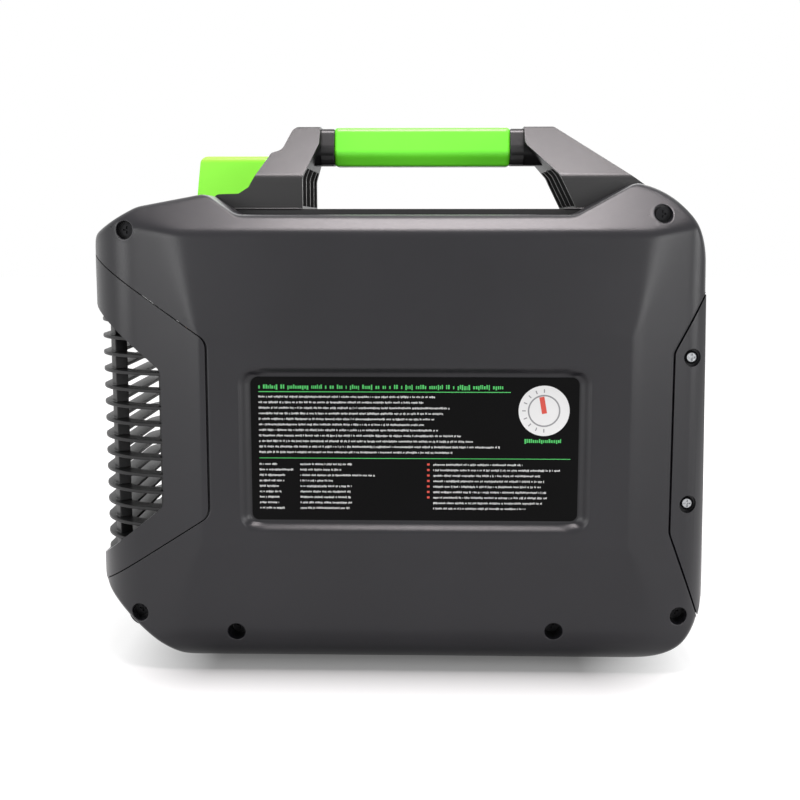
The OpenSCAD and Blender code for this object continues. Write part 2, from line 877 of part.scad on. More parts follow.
// Display hood on the front shoulder, with its window and board on the sloping face
hood_x = valley_left + 13.5;
hood_back = valley_width / 2 + 3;
hood_top = shoulder_height + hood_rise;
hood_front = half_d - lean_in;
hood_depth = hood_front - hood_back;
hood_brow = hood_back + 0.46 * hood_depth;
hood_foot = shoulder_height - 4;
hood_cable_y = hood_back + 0.34 * hood_depth;
hood_cable = 12;
hood_tilt = atan2(hood_top - hood_foot, hood_front - hood_brow);
hood_profile = [
    [hood_back, chamfer_z],
    [hood_front, chamfer_z],
    [hood_front, hood_foot, 3],
    [hood_brow, hood_top, 5],
    [hood_back, hood_top, 5]
];
hood_outline = [
    [hood_x - hood_width / 2, chamfer_z],
    [hood_x + hood_width / 2, chamfer_z],
    [hood_x + hood_width / 2, shoulder_height],
    [hood_x + hood_width / 2 - 5, hood_top, 6],
    [hood_x - hood_width / 2 + 5, hood_top, 6],
    [hood_x - hood_width / 2, shoulder_height]
];
module on_hood_face() {
    translate([hood_x, (hood_front + hood_brow) / 2, (hood_foot + hood_top) / 2])
        rotate([-hood_tilt, 0, 0]) children();
}
board_drop = 5;
display_board_thickness = 1.6;
lens_play = 0.4;
board_lift = 0.1;
hood_play = 0.05;
hood_roof = 12;
module display_hood() color(lime) difference() {
    intersection() {
        along_x(hood_profile);
        along_y(hood_outline);
    }
    form(-hood_play);
    on_hood_face() translate([0, 0, -lens_thickness - board_drop - display_board_thickness])
        along_z_up(plate(lens_width + lens_play, lens_height + lens_play, 3), 20);
    translate([hood_x, hood_cable_y, 0]) cylinder(d = hood_cable, h = hood_top - hood_roof);
}
module along_z_up(list, length) {
    linear_extrude(height = length) polygon(rounded(list));
}
module display_lens() color("#223038")
    on_hood_face() translate([0, 0, -lens_thickness])
        along_z_up(plate(lens_width, lens_height, 2.8), lens_thickness);
module display_board() color(board_green) on_hood_face() {
    translate([0, 0, -lens_thickness - board_drop - display_board_thickness + board_lift])
        along_z_up(plate(lens_width - 1, lens_height - 1, 2), display_board_thickness);
    translate([0, 0, -lens_thickness - board_drop + board_lift])
        along_z_up(plate(lens_width - 8, lens_height - 6, 1), board_drop - 0.4);
}

module rear_label() color("#101012")
    translate([label_x, -half_d + bed_depth - label_thickness / 2, label_z])
        along_y(plate(label_width, label_height, label_corner), label_thickness);

// Controls on the front
module control_panel() color(trim_black) difference() {
    translate([bay_x, bay_floor + panel_thickness / 2, bay_z])
        along_y(plate(bay_width - 2 * panel_play, bay_height - 2 * panel_play, bay_corner - panel_play),
            panel_thickness);
    panel_holes(bay_floor - 1, panel_face + 1);
}
knob_gap = 0.6;
knob_skirt = 4;
knob_low = panel_face + knob_gap;
knob_high = panel_face + knob_height;
wing_width = knob_diameter * 0.3;
knob_waist = knob_diameter * 0.84;
wing_length = knob_diameter * 0.86;
knob_cap = 4;
flute_diameter = 4;
pointer_size = [2, 0.8, knob_diameter * 0.28];
pointer_z = knob_diameter * 0.26;
pointer_play = 0.04;
flute_count = 24;
module knob_place() {
    translate([knob_x, 0, knob_z]) children();
}
module control_knob() color(trim_black) knob_place() difference() {
    union() {
        rod_y([0, 0], knob_low, knob_low + knob_skirt, knob_diameter);
        rod_y([0, 0], knob_low, knob_low + knob_skirt + 3, knob_waist);
        intersection() {
            translate([0, (knob_low + knob_high) / 2, 0])
                along_y(plate(wing_width, wing_length, wing_width * 0.3), knob_high - knob_low);
            rod_y([0, 0], knob_low, knob_high, knob_waist);
        }
    }
    for (i = [0 : flute_count - 1]) rotate([0, i * 360 / flute_count, 0])
        rod_y([knob_diameter / 2 + 0.8, 0], knob_low - 1, knob_low + knob_skirt + 1, flute_diameter);
    rod_y([0, 0], knob_low - 1, knob_high - knob_cap, stem_diameter + 0.04);
    translate([0, knob_high, pointer_z])
        cube([pointer_size.x, 2 * pointer_size.y, pointer_size.z], center = true);
}
module knob_pointer() color("#f2f2f2") knob_place()
    translate([0, knob_high - pointer_size.y / 2, pointer_z])
        cube(pointer_size - pointer_play * [1, 1, 1], center = true);
stem_depth = 20;
stem_low = bay_back - stem_depth;
module valve_stem() color(steel) knob_place()
    rod_y([0, 0], stem_low, knob_high - knob_cap - 0.2, stem_diameter);

block_half_height = 15;
block_depth = 26;
block_back = bay_back - block_depth;
block_low = port_z - block_half_height;
block_top = knob_z + 22;
block_middle = (block_back + bay_back) / 2;
block_reach = 18;
block_column = [-31, 33];
module valve_block() color(brass) difference() {
    union() {
        span([knob_x - port_spread - block_reach, block_back, block_low],
            [knob_x + port_spread + block_reach, bay_back, port_z + block_half_height]);
        span([knob_x + block_column[0], block_back, block_low],
            [knob_x + block_column[1], bay_back, block_top]);
    }
    rod_y([knob_x, knob_z], stem_low - 0.5, bay_back + 1, stem_diameter + 2 * running_gap);
    for (s = [-1, 1])
        rod_y([knob_x + s * port_spread, port_z], bay_back - shank_depth - 0.2, bay_back + 1,
            shank_diameter + 0.2);
}

button_stem = 6;
flange_thickness = 2;
flange_gap = 0.3;
flange_rim = 2;
tail_length = 10;
button_tail = bay_back - tail_length;
module push_button(z) {
    rod_y([button_x, z], bay_back - flange_gap, panel_face + button_rise, button_diameter);
    rod_y([button_x, z], bay_back - flange_gap - flange_thickness, bay_back - flange_gap,
        button_diameter + 2 * flange_rim);
    rod_y([button_x, z], button_tail, bay_back - 1, button_stem);
}
module start_button() color("#2aa64a") push_button(start_z);
module stop_button() color("#c8281e") push_button(stop_z);
switch_wall_behind = 3;
switch_back = button_tail - button_travel - switch_wall_behind;
switch_size = button_diameter + 10;
switch_cap = 1.5;
pocket_floor = bay_back - flange_gap - flange_thickness - button_travel - 0.5;
module button_switches() color(trim_black) for (z = [start_z, stop_z]) difference() {
    translate([button_x, (switch_back + bay_back) / 2, z])
        along_y(plate(switch_size, switch_size, 2), bay_back - switch_back);
    rod_y([button_x, z], pocket_floor, bay_back + 1, button_diameter + 2 * flange_rim + 1);
    rod_y([button_x, z], switch_back + switch_cap, bay_back, button_stem + 2 * running_gap);
}

// Flare ports
nose_length = 3;
nose_diameter = port_thread - 1.6 * nose_length;
hex_height = 5.6;
port_bore = 5;
thread_start = panel_face + hex_height;
thread_end = thread_start + port_length;
module flare_port(x) difference() {
    union() {
        rod_y([x, port_z], bay_back - shank_depth, panel_face, shank_diameter);
        translate([x, panel_face, port_z]) rotate([-90, 0, 0])
            cylinder(d = port_hex / cos(30), h = hex_height, $fn = 6);
        rod_y([x, port_z], thread_start, thread_end, port_thread);
        translate([x, thread_end, port_z]) rotate([-90, 0, 0])
            cylinder(d1 = port_thread, d2 = nose_diameter, h = nose_length);
    }
    rod_y([x, port_z], bay_back - shank_depth - 1, thread_end + nose_length + 1, port_bore);
}
module inlet_port() color(brass) flare_port(knob_x + port_spread);
module outlet_port() color(brass) flare_port(knob_x - port_spread);
module inlet_filter() color(steel) difference() {
    rod_y([knob_x + port_spread, port_z], panel_face, thread_end, port_bore - 0.1);
    rod_y([knob_x + port_spread, port_z], panel_face + 1, thread_end + 1, port_bore - 1.1);
}

// Power entry: inlet with three blades, and the switch
entry_play = 0.2;
inlet_wall = 2.4;
inlet_corner = 3;
inlet_flange = 2.4;
flange_lip = 4;
inlet_body_width = inlet_width + 2 * inlet_wall;
inlet_body_height = inlet_height + 2 * inlet_wall;
inlet_back = power_face + inlet_flange - inlet_depth;
module power_inlet() color(trim_black) translate([0, power_inlet_y, power_z]) difference() {
    union() {
        translate([power_face + inlet_flange / 2, 0, 0])
            along_x(plate(inlet_body_width + 2 * flange_lip, inlet_body_height + 2 * flange_lip, flange_lip),
                inlet_flange);
        translate([(power_face + inlet_back - inlet_wall) / 2, 0, 0])
            along_x(plate(inlet_body_width, inlet_body_height, inlet_corner),
                power_face - inlet_back + inlet_wall);
    }
    translate([inlet_back + big / 2, 0, 0]) along_x(plate(inlet_width, inlet_height, inlet_corner));
    for (p = blade_points) translate([inlet_back, p.x, p.y])
        cube([2 * blade_seat, blade_slot.x, blade_slot.y], center = true);
}
blade_points = [[-7, -2.4], [0, 4.6], [7, -2.4]];
blade_slot = [2, 4];
blade_play = 0.04;
blade_seat = 6;
blade_back = -3.5;
blade_front = 12.5;
module power_pins() color(steel) translate([inlet_back, power_inlet_y, power_z])
    for (p = blade_points) translate([(blade_back + blade_front) / 2, p.x, p.y])
        cube([blade_front - blade_back, blade_slot.x - blade_play, blade_slot.y - blade_play], center = true);

switch_wall = 3.2;
frame_lip = 3;
frame_flange = 2;
rocker_play = 0.5;
switch_body_width = rocker_width + 2 * switch_wall;
switch_body_height = rocker_height + 2 * switch_wall;
switch_floor = 4;
trunnion_reach = 1.8;
trunnion = 3;
rocker_radius = 26;
rocker_dish = 6;
rocker_back = 3.5;
rocker_pivot = power_face - 6;
switch_depth = 20;
module switch_frame() color(trim_black) translate([0, switch_y, power_z]) difference() {
    union() {
        translate([power_face + frame_flange / 2, 0, 0])
            along_x(
                plate(switch_body_width + 2 * frame_lip, switch_body_height + 2 * frame_lip, frame_flange),
                frame_flange);
        translate([power_face - switch_depth / 2, 0, 0])
            along_x(plate(switch_body_width, switch_body_height, 1.2), switch_depth);
    }
    translate([power_face - switch_depth + switch_floor + big / 2, 0, 0])
        along_x(plate(rocker_width + 2 * rocker_play, rocker_height + 2 * rocker_play, 0.6));
    translate([rocker_pivot, 0, 0]) rotate([90, 0, 0])
        cylinder(d = trunnion + 2 * running_gap, h = rocker_width + 2 * trunnion_reach + 0.4, center = true);
}
module power_rocker() color("#b3221c")
translate([rocker_pivot, switch_y, power_z]) rotate([0, rocker_swing / 2, 0]) {
    rotate([90, 0, 0]) cylinder(d = trunnion, h = rocker_width + 2 * trunnion_reach, center = true);
    intersection() {
        span([-rocker_back, -rocker_width / 2, -rocker_height / 2 + 0.6],
            [rocker_height, rocker_width / 2, rocker_height / 2 - 0.6]);
        difference() {
            rotate([90, 0, 0]) cylinder(r = rocker_height / 2 - 0.3, h = rocker_width, center = true);
            translate([rocker_dish + rocker_radius, 0, 0]) rotate([90, 0, 0])
                cylinder(r = rocker_radius, h = big, center = true);
        }
    }
}

// Feet and the steel tray
foot_sole = 1.4;
foot_seat = foot_height - foot_sole;
foot_head_height = 1.4;
foot_screw_tip = 2;
module rubber_feet() color(rubber_black) for (p = foot_points()) translate([p.x, p.y, 0]) difference() {
    cylinder(d = foot_diameter, h = foot_height);
    translate([0, 0, -1]) cylinder(d = screw_head + 2, h = foot_seat + 1);
    cylinder(d = screw_diameter + 2 * screw_play, h = big, center = true);
}
module foot_screws() color(zinc) for (p = foot_points()) translate([p.x, p.y, 0]) {
    translate([0, 0, foot_seat - foot_head_height]) cylinder(d = screw_head, h = foot_head_height);
    translate([0, 0, foot_seat - 0.5])
        cylinder(d = screw_diameter, h = tray_top + foot_screw_tip - foot_seat + 0.5);
}
tray_left = -half_l + 66;
tray_right = half_l - 50;
tray_width = 144;
tray_flange = 8;
tray_play = 0.5;
flange_left = -88;
flange_right = 86;
module chassis_tray() color(zinc) difference() {
    union() {
        span([tray_left, -tray_width / 2, floor_z], [tray_right, tray_width / 2, tray_top]);
        for (s = [0, 1]) mirror([0, s, 0])
            span([flange_left, -tray_width / 2, floor_z],
                [flange_right, -tray_width / 2 + tray_thickness, tray_top + tray_flange]);
    }
    foot_screw_holes();
    tower_ribs(-pilot_depth, tower_depth, tray_play);
    for (p = mount_points) translate([p.x, p.y, floor_z - 1]) cylinder(d = mount_bolt + 1, h = big);
}

// Compressor on its rubber mounts
sole_left = -50;
mount_points = [for (x = [sole_left + 12, crank_right - 12], y = [-28, 28]) [x, y]];
mount_diameter = 20;
mount_bolt = 6;
module vibration_mounts() color(rubber_black)
for (p = mount_points) translate([p.x, p.y, tray_top]) difference() {
    cylinder(d = mount_diameter, h = mount_height);
    translate([0, 0, -1]) cylinder(d = mount_bolt, h = mount_height + 2);
    translate([0, 0, mount_height / 2])
        rotate_extrude() translate([mount_diameter / 2, 0]) circle(d = mount_height / 3);
}
bearing_diameter = 28;
bearing_width = 8;
crank_bore = shaft_diameter + 2;
crank_cover = 4;
shaft_left = fan_front - 2;
shaft_reach = 44;
shaft_right = motor_back + shaft_reach;
module crankcase() color(cast_grey) difference() {
    union() {
        span([sole_left, -crank_width / 2, sole_z], [crank_right, crank_width / 2, sole_z + sole_thickness]);
        translate([(motor_back + crank_right) / 2, 0, (sole_z + crank_top) / 2])
            along_z(plate(crank_right - motor_back, crank_width, 10), crank_top - sole_z);
        rod_x([0, axis_height], crank_right - 1, crank_right + crank_cover, crank_width - 10);
    }
    rod_x([0, axis_height], motor_back - 1, shaft_right + 1, crank_bore);
    for (p = mount_points) translate([p.x, p.y, 0]) cylinder(d = mount_bolt, h = sole_z + sole_thickness - 1);
}
barrel_diameter = 26;
barrel_fin = 36;
barrel_fins = 5;
barrel_margin = 4;
barrel_fin_height = 2.4;
barrel_fin_pitch = (barrel_height - 2 * barrel_margin - barrel_fin_height) / (barrel_fins - 1);
module cylinder_barrels() color(cast_grey) for (x = cylinder_x) translate([x, 0, crank_top]) {
    cylinder(d = barrel_diameter, h = barrel_height);
    for (i = [0 : barrel_fins - 1]) translate([0, 0, barrel_margin + i * barrel_fin_pitch])
        cylinder(d = barrel_fin, h = barrel_fin_height);
}
head_width = 36;
head_length = 46;
head_fins = 5;
head_fin_pitch = 8;
head_fin_depth = 8;
head_groove = 4;
module cylinder_heads() color(cast_grey) for (x = cylinder_x) translate([x, 0, head_z]) {
    difference() {
        translate([0, 0, head_height / 2]) along_z(plate(head_width, head_length, 5), head_height);
        for (i = [0 : head_fins - 2])
            translate([0, (i - (head_fins - 2) / 2) * head_fin_pitch, head_height])
                cube([2 * head_width, head_groove, 2 * head_fin_depth], center = true);
        for (p = bolt_points)
            translate([p.x, p.y, -1]) cylinder(d = bolt_diameter + 0.4, h = head_height + 2);
    }
    cylinder(d = pipe_diameter + 5, h = head_height);
}
bolt_diameter = 5;
bolt_head = 8.2;
bolt_head_height = 4;
bolt_points = [for (x = [-13.5, 13.5], y = [-18.5, 18.5]) [x, y]];
module head_bolts() color(zinc) for (x = cylinder_x, p = bolt_points) translate([x + p.x, p.y, head_z]) {
    cylinder(d = bolt_diameter, h = head_height + 1);
    translate([0, 0, head_height]) cylinder(d = bolt_head, h = bolt_head_height, $fn = 6);
}
motor_ribs = 24;
motor_rib = 3;
motor_rib_width = 2.4;
module motor_housing() color(steel) difference() {
    union() {
        rod_x([0, axis_height], motor_front, motor_back, motor_diameter - 2 * motor_rib);
        intersection() {
            rod_x([0, axis_height], motor_front + 8, motor_back - 4, motor_diameter);
            translate([0, 0, axis_height]) for (i = [0 : motor_ribs - 1]) rotate([i * 360 / motor_ribs, 0, 0])
                span([motor_front, -motor_rib_width / 2, 0],
                    [motor_back, motor_rib_width / 2, motor_diameter]);
        }
    }
    rod_x([0, axis_height], motor_front - 1, motor_back + 1, shaft_diameter + 3);
    for (x = [motor_front, motor_back - bearing_width])
        rod_x([0, axis_height], x, x + bearing_width, bearing_diameter + 0.04);
}
module motor_bearings() color(steel) for (x = [motor_front, motor_back - bearing_width]) difference() {
    rod_x([0, axis_height], x + 0.2, x + bearing_width - 0.2, bearing_diameter);
    rod_x([0, axis_height], x - 1, x + bearing_width + 1, shaft_diameter + 2 * running_gap);
}
module motor_shaft() color(steel) rod_x([0, axis_height], shaft_left, shaft_right, shaft_diameter);
hub_diameter = 44;
blade_pitch = 32;
blade_chord = 34;
blade_bow = 45;
blade_thickness = 2.4;
module cooling_fan() color(trim_black) translate([fan_front, 0, axis_height]) difference() {
    union() {
        rod_x([0, 0], 0, fan_hub_length, hub_diameter);
        intersection() {
            for (i = [0 : fan_blades - 1]) rotate([i * 360 / fan_blades, 0, 0])
                translate([fan_hub_length / 2, 0, hub_diameter / 2 - 6]) rotate([0, 0, blade_pitch])
                    intersection() {
                        translate([blade_bow - blade_thickness, 0, 0]) difference() {
                            cylinder(r = blade_bow, h = fan_diameter / 2);
                            translate([0, 0, -1]) cylinder(r = blade_bow - blade_thickness, h = fan_diameter);
                        }
                        span([-blade_thickness - 1, -blade_chord / 2, 0],
                            [blade_chord / 2, blade_chord / 2, fan_diameter]);
                    }
            rod_x([0, 0], 0.5, fan_hub_length - 0.5, fan_diameter);
        }
    }
    rod_x([0, 0], -1, fan_hub_length + 1, shaft_diameter + 0.04);
}
pipe_lane = block_middle + 2 * pipe_bend + 1;
shroud_x = vent_x + 3;
shroud_plate = 3;
shroud_top = shoulder_height - 40;
shroud_ring = 3;
fan_tip_gap = 3;
shroud_bore = fan_diameter + 2 * fan_tip_gap;
lip_play = 2.6;
tongue_back = -half_d + wall + tongue_thickness + 0.6;
module fan_shroud() color(trim_black) difference() {
    union() {
        intersection() {
            form(wall + lip_play);
            span([shroud_x, -big, tray_top + 0.3], [shroud_x + shroud_plate, big, shroud_top]);
        }
        rod_x([0, axis_height], shroud_x, fan_front + fan_hub_length, shroud_bore + 2 * shroud_ring);
    }
    rod_x([0, axis_height], shroud_x - 1, fan_front + fan_hub_length + 1, shroud_bore);
    rod_x([pipe_lane, liquid_z], shroud_x - 1, shroud_x + shroud_plate + 1, pipe_diameter + 3);
    for (s = [0, 1]) mirror([0, s, 0])
        span([shroud_x - 1, -big, vent_low], [tongue_right + 0.5, tongue_back, vent_high]);
}

// Condenser behind the vent grille: fins on a serpentine tube
fin_thickness = 0.8;
fin_margin = 10;
fin_low = tube_low - fin_margin;
fin_high = tube_high + fin_margin;
fin_edge = tube_end - 6;
fin_pitch = 2 * fin_edge / (fin_count - 1);
module condenser_fins() color(steel) for (i = [0 : fin_count - 1]) {
    y = -fin_edge + i * fin_pitch;
    difference() {
        union() {
            span([condenser_x - condenser_width / 2, y - fin_thickness / 2, fin_low],
                [condenser_x + condenser_width / 2, y + fin_thickness / 2, fin_high]);
            if (i == 0 || i == fin_count - 1)
                span([condenser_x + 1, y - fin_thickness / 2, tray_top],
                    [condenser_x + condenser_width / 2, y + fin_thickness / 2, fin_low + 1]);
        }
        for (k = [0 : tube_count - 1])
            rod_y([condenser_x, tube_low + k * tube_pitch], -tube_end, tube_end, pipe_diameter + 0.1);
    }
}
// A return bend from one tube to the next one above it, bulging towards side_y
module return_bend(side_y, z) {
    multmatrix([
        [0, 0, side_y, condenser_x],
        [0, side_y, 0, side_y * tube_end],
        [-1, 0, 0, z + tube_pitch / 2],
        [0, 0, 0, 1]
    ])
        rotate_extrude(angle = 180) translate([tube_pitch / 2, 0]) circle(d = pipe_diameter);
}
module condenser_tubes() color(copper) for (k = [0 : tube_count - 1]) {
    z = tube_low + k * tube_pitch;
    rod_y([condenser_x, z], -tube_end, tube_end, pipe_diameter);
    if (k < tube_count - 1) return_bend(k % 2 == 0 ? -1 : 1, z);
}

// Refrigerant pipes
liquid_z = floor_z + 38;
discharge_rise = 24;
discharge_z = head_z + head_height + discharge_rise;
suction_z = head_z + head_height / 2;
module suction_pipe() color(copper) pipe([
    [cylinder_x[0], block_middle, block_top],
    [cylinder_x[0], block_middle, suction_z],
    [cylinder_x[0], head_length / 2, suction_z]
], pipe_diameter);
module discharge_pipe() color(copper) pipe([
    [cylinder_x[1], 0, head_z + head_height],
    [cylinder_x[1], 0, discharge_z],
    [condenser_x, 0, discharge_z],
    [condenser_x, pipe_lane, discharge_z],
    [condenser_x, pipe_lane, tube_high],
    [condenser_x, tube_end, tube_high]
], pipe_diameter);
module liquid_pipe() color(copper) pipe([
    [condenser_x, tube_end, tube_low],
    [condenser_x, pipe_lane, tube_low],
    [condenser_x, pipe_lane, liquid_z],
    [knob_x - port_spread, pipe_lane, liquid_z],
    [knob_x - port_spread, block_middle, liquid_z],
    [knob_x - port_spread, block_middle, block_low]
], pipe_diameter);
sensor_x = knob_x - 14;
sensor_hex = 20;
sensor_hex_height = 8;
sensor_body = 16;
sensor_body_top = 27;
sensor_plug = 8;
sensor_top = 32;
module pressure_switch() color(brass) translate([sensor_x, block_middle, block_top]) {
    cylinder(d = sensor_hex, h = sensor_hex_height, $fn = 6);
    translate([0, 0, sensor_hex_height - 1])
        cylinder(d = sensor_body, h = sensor_body_top - sensor_hex_height + 1);
    translate([0, 0, sensor_body_top - 1]) cylinder(d = sensor_plug, h = sensor_top - sensor_body_top + 1);
}

// Electrics on a bracket at the cover end
bracket_x = half_l - 72;
bracket_thickness = 1.5;
bracket_width = 120;
bracket_top = 200;
bracket_foot = 16;
board_width = 104;
board_height = 150;
board_z = 116;
spacer_length = 8;
spacer_diameter = 6;
spacer_inset = 10;
spacer_points = [for (y = [-0.5, 0.5], z = [-0.5, 0.5])
    [y * (board_width - spacer_inset), board_z + z * (board_height - spacer_inset)]];
board_x = bracket_x + bracket_thickness + spacer_length;
module board_bracket() color(zinc) difference() {
    union() {
        span([bracket_x, -bracket_width / 2, tray_top],
            [bracket_x + bracket_thickness, bracket_width / 2, bracket_top]);
        span([bracket_x, -bracket_width / 2, tray_top],
            [bracket_x + bracket_foot, bracket_width / 2, tray_top + bracket_thickness]);
    }
    foot_screw_holes();
}
module board_spacers() color(brass) for (p = spacer_points)
    rod_x(p, bracket_x + bracket_thickness, board_x, spacer_diameter);
board_thickness = 1.6;
relay_y = [-30, 0, 30];
relay_low = board_z - 50;
relay_high = board_z - 28;
relay_width = 18;
relay_height = 16;
heat_sink = [[-40, board_z + 10], [10, board_z + 50]];
heat_sink_height = 11;
can_points = [[32, board_z - 6], [32, board_z + 10]];
can_diameter = 12;
can_height = 19;
module control_board() color(board_green) {
    face = board_x + board_thickness;
    span([board_x, -board_width / 2, board_z - board_height / 2],
        [face, board_width / 2, board_z + board_height / 2]);
    for (y = relay_y)
        span([board_x + 1, y - relay_width / 2, relay_low],
            [face + relay_height, y + relay_width / 2, relay_high]);
    span([board_x + 1, heat_sink[0].x, heat_sink[0].y],
        [face + heat_sink_height, heat_sink[1].x, heat_sink[1].y]);
    for (p = can_points) rod_x(p, board_x + 1, face + can_height, can_diameter);
}
capacitor_diameter = 28;
capacitor_left = -44;
capacitor_right = 16;
capacitor_cap = 4;
capacitor_y = -tray_width / 2 + tray_thickness + capacitor_diameter / 2 + 1;
module run_capacitor() color("#303236") {
    axis = [capacitor_y, tray_top + capacitor_diameter / 2];
    rod_x(axis, capacitor_left, capacitor_right, capacitor_diameter);
    rod_x(axis, capacitor_right - 1, capacitor_right + capacitor_cap, capacitor_diameter - 4);
}

// Screws of the case and of the end cover
screw_tip_gap = 4;
cover_screw_tip = 2;
module shell_screws() color(zinc) for (p = tower_points)
    translate([p.x, well_seat, p.y]) rotate([90, 0, 0]) pan_screw(-well_seat + pilot_depth - screw_tip_gap);
module cover_screws() color(zinc) for (s = [-1, 1], z = cover_screw_z)
    translate([cover_screw_x, s * cover_seat, z]) rotate([s < 0 ? 90 : -90, 0, 0])
        pan_screw(cover_boss_depth + tab_play + tab_thickness + cover_screw_tip);

rear_shell();
front_shell();
vent_frame();
vent_grille();
end_cover();
handle_bracket();
handle_bar();
handle_grip();
handle_screws();
display_hood();
display_lens();
display_board();
rear_label();
control_panel();
control_knob();
knob_pointer();
valve_stem();
valve_block();
start_button();
stop_button();
button_switches();
inlet_port();
outlet_port();
inlet_filter();
power_inlet();
power_pins();
switch_frame();
power_rocker();
rubber_feet();
foot_screws();
chassis_tray();
vibration_mounts();
crankcase();
cylinder_barrels();
cylinder_heads();
head_bolts();
motor_housing();
motor_bearings();
motor_shaft();
cooling_fan();
fan_shroud();
condenser_fins();
condenser_tubes();
suction_pipe();
discharge_pipe();
liquid_pipe();
pressure_switch();
board_bracket();
board_spacers();
control_board();
run_capacitor();
shell_screws();
cover_screws();
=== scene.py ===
"""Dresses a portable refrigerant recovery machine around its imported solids.

The frame is the part's own: +X to the right as the rear label is read, -Y out of the label side, +Z up.
Sizes of the part are millimetres here, and every mesh is written in metres. The studio is given in metres,
apart from the camera's places.
"""

from __future__ import annotations

import logging
import math
from dataclasses import dataclass, field, replace
from enum import Enum
from typing import ClassVar

import bmesh
import bpy
import numpy as np
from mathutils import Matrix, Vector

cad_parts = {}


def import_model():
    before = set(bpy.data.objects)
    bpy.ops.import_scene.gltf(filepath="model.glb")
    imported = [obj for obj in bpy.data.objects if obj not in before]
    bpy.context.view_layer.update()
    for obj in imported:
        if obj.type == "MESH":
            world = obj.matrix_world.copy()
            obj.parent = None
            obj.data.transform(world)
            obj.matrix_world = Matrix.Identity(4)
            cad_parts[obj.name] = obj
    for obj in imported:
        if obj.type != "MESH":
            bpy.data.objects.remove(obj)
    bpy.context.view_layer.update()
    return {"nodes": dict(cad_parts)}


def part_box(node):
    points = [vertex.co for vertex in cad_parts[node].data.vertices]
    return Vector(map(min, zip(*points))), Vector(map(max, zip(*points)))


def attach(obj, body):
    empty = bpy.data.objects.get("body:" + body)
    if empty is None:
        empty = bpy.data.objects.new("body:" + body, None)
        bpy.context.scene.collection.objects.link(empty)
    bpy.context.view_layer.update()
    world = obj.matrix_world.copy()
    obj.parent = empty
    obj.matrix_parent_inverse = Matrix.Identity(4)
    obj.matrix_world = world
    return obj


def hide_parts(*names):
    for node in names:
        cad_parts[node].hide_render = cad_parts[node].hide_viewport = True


MM = 0.001
TURN = 2.0 * math.pi
WELD_GAP = 0.004
SLIVER = 0.002
PRINT_SINK = 0.02
GRIP_STEP = 1.2
MIX_FIRST = 6
MIX_SECOND = 7
Colour = tuple[float, float, float]

log = logging.getLogger("recovery_machine")


class Side(Enum):
    """The two halves of the case, by the sign of Y."""

    REAR = -1
    FRONT = 1


class Body(Enum):
    """The bodies of the part that carry new pieces."""

    CASE = "case"
    KNOB = "knob"
    START = "start"
    STOP = "stop"
    ROCKER = "rocker"


class Texture(Enum):
    """How the surface of a finish is broken up."""

    MOULDED = "moulded"
    BRUSHED = "brushed"
    CAST = "cast"
    SMOOTH = "smooth"


@dataclass
class Patch:
    """A stretch of surface: points in millimetres and the faces that join them."""

    points: np.ndarray
    faces: np.ndarray

    @staticmethod
    def grid(points: np.ndarray, around: bool = False, flip: bool = False) -> "Patch":
        """Joins a grid of points into quads, each row to the next one.

        Args:
            points: array of rows by columns by three.
            around: join the last column to the first one.
            flip: turn the faces round.

        Returns:
            The patch.
        """
        rows, columns = points.shape[:2]
        index = np.arange(rows * columns).reshape(rows, columns)
        if around:
            index = np.hstack([index, index[:, :1]])
        corners = [index[:-1, :-1], index[:-1, 1:], index[1:, 1:], index[1:, :-1]]
        faces = np.stack(corners, axis=-1).reshape(-1, 4)
        return Patch(points.reshape(-1, 3), faces[:, ::-1] if flip else faces)

    def without(self, mask: np.ndarray) -> "Patch":
        """Leaves out the faces that have a corner in the mask."""
        return Patch(self.points, self.faces[~mask.reshape(-1)[self.faces].any(axis=1)])


def arc_corner(a: np.ndarray, b: np.ndarray, c: np.ndarray, radius: float, step: float) -> np.ndarray:
    """Replaces the corner b of the path a, b, c by a tangent arc.

    Args:
        a: the point before the corner.
        b: the corner.
        c: the point after the corner.
        radius: radius of the arc, or nothing for a sharp corner.
        step: largest turn between two points, in degrees.

    Returns:
        The points of the arc.
    """
    if radius <= 0:
        return b[None, :]
    u = (a - b) / np.linalg.norm(a - b)
    w = (c - b) / np.linalg.norm(c - b)
    half = math.acos(float(np.clip(u @ w, -1.0, 1.0))) / 2.0
    middle = b + (u + w) / np.linalg.norm(u + w) * radius / math.sin(half)
    start = b + u * radius / math.tan(half) - middle
    end = b + w * radius / math.tan(half) - middle
    first = math.atan2(start[1], start[0])
    sweep = (math.atan2(end[1], end[0]) - first + math.pi) % TURN - math.pi
    angles = first + sweep * np.linspace(0.0, 1.0, max(3, int(abs(math.degrees(sweep)) / step) + 2))
    return middle + radius * np.stack([np.cos(angles), np.sin(angles)], axis=1)


def rounded(corners: list[tuple[float, float, float]], step: float = 3.0, closed: bool = True) -> np.ndarray:
    """Outline of straight stretches and tangent arcs through corners of x, y and radius.

    Args:
        corners: the corners in order.
        step: largest turn between two points of an arc, in degrees.
        closed: whether the last corner joins the first one.

    Returns:
        The points of the outline.
    """
    flat = np.array([c[:2] for c in corners], float)
    radii = [c[2] for c in corners]
    count = len(corners)
    pieces = []
    for i in range(count):
        inner = closed or 0 < i < count - 1
        radius = radii[i] if inner else 0.0
        pieces.append(arc_corner(flat[i - 1], flat[i], flat[(i + 1) % count], radius, step))
    return np.vstack(pieces)


def rounded_plate(width: float, height: float, radius: float, x: float = 0.0, z: float = 0.0) -> np.ndarray:
    """Outline of a rectangle with round corners about a middle."""
    w, h = width / 2.0, height / 2.0
    return rounded([(x + i * w, z + j * h, radius) for i, j in ((-1, -1), (1, -1), (1, 1), (-1, 1))])


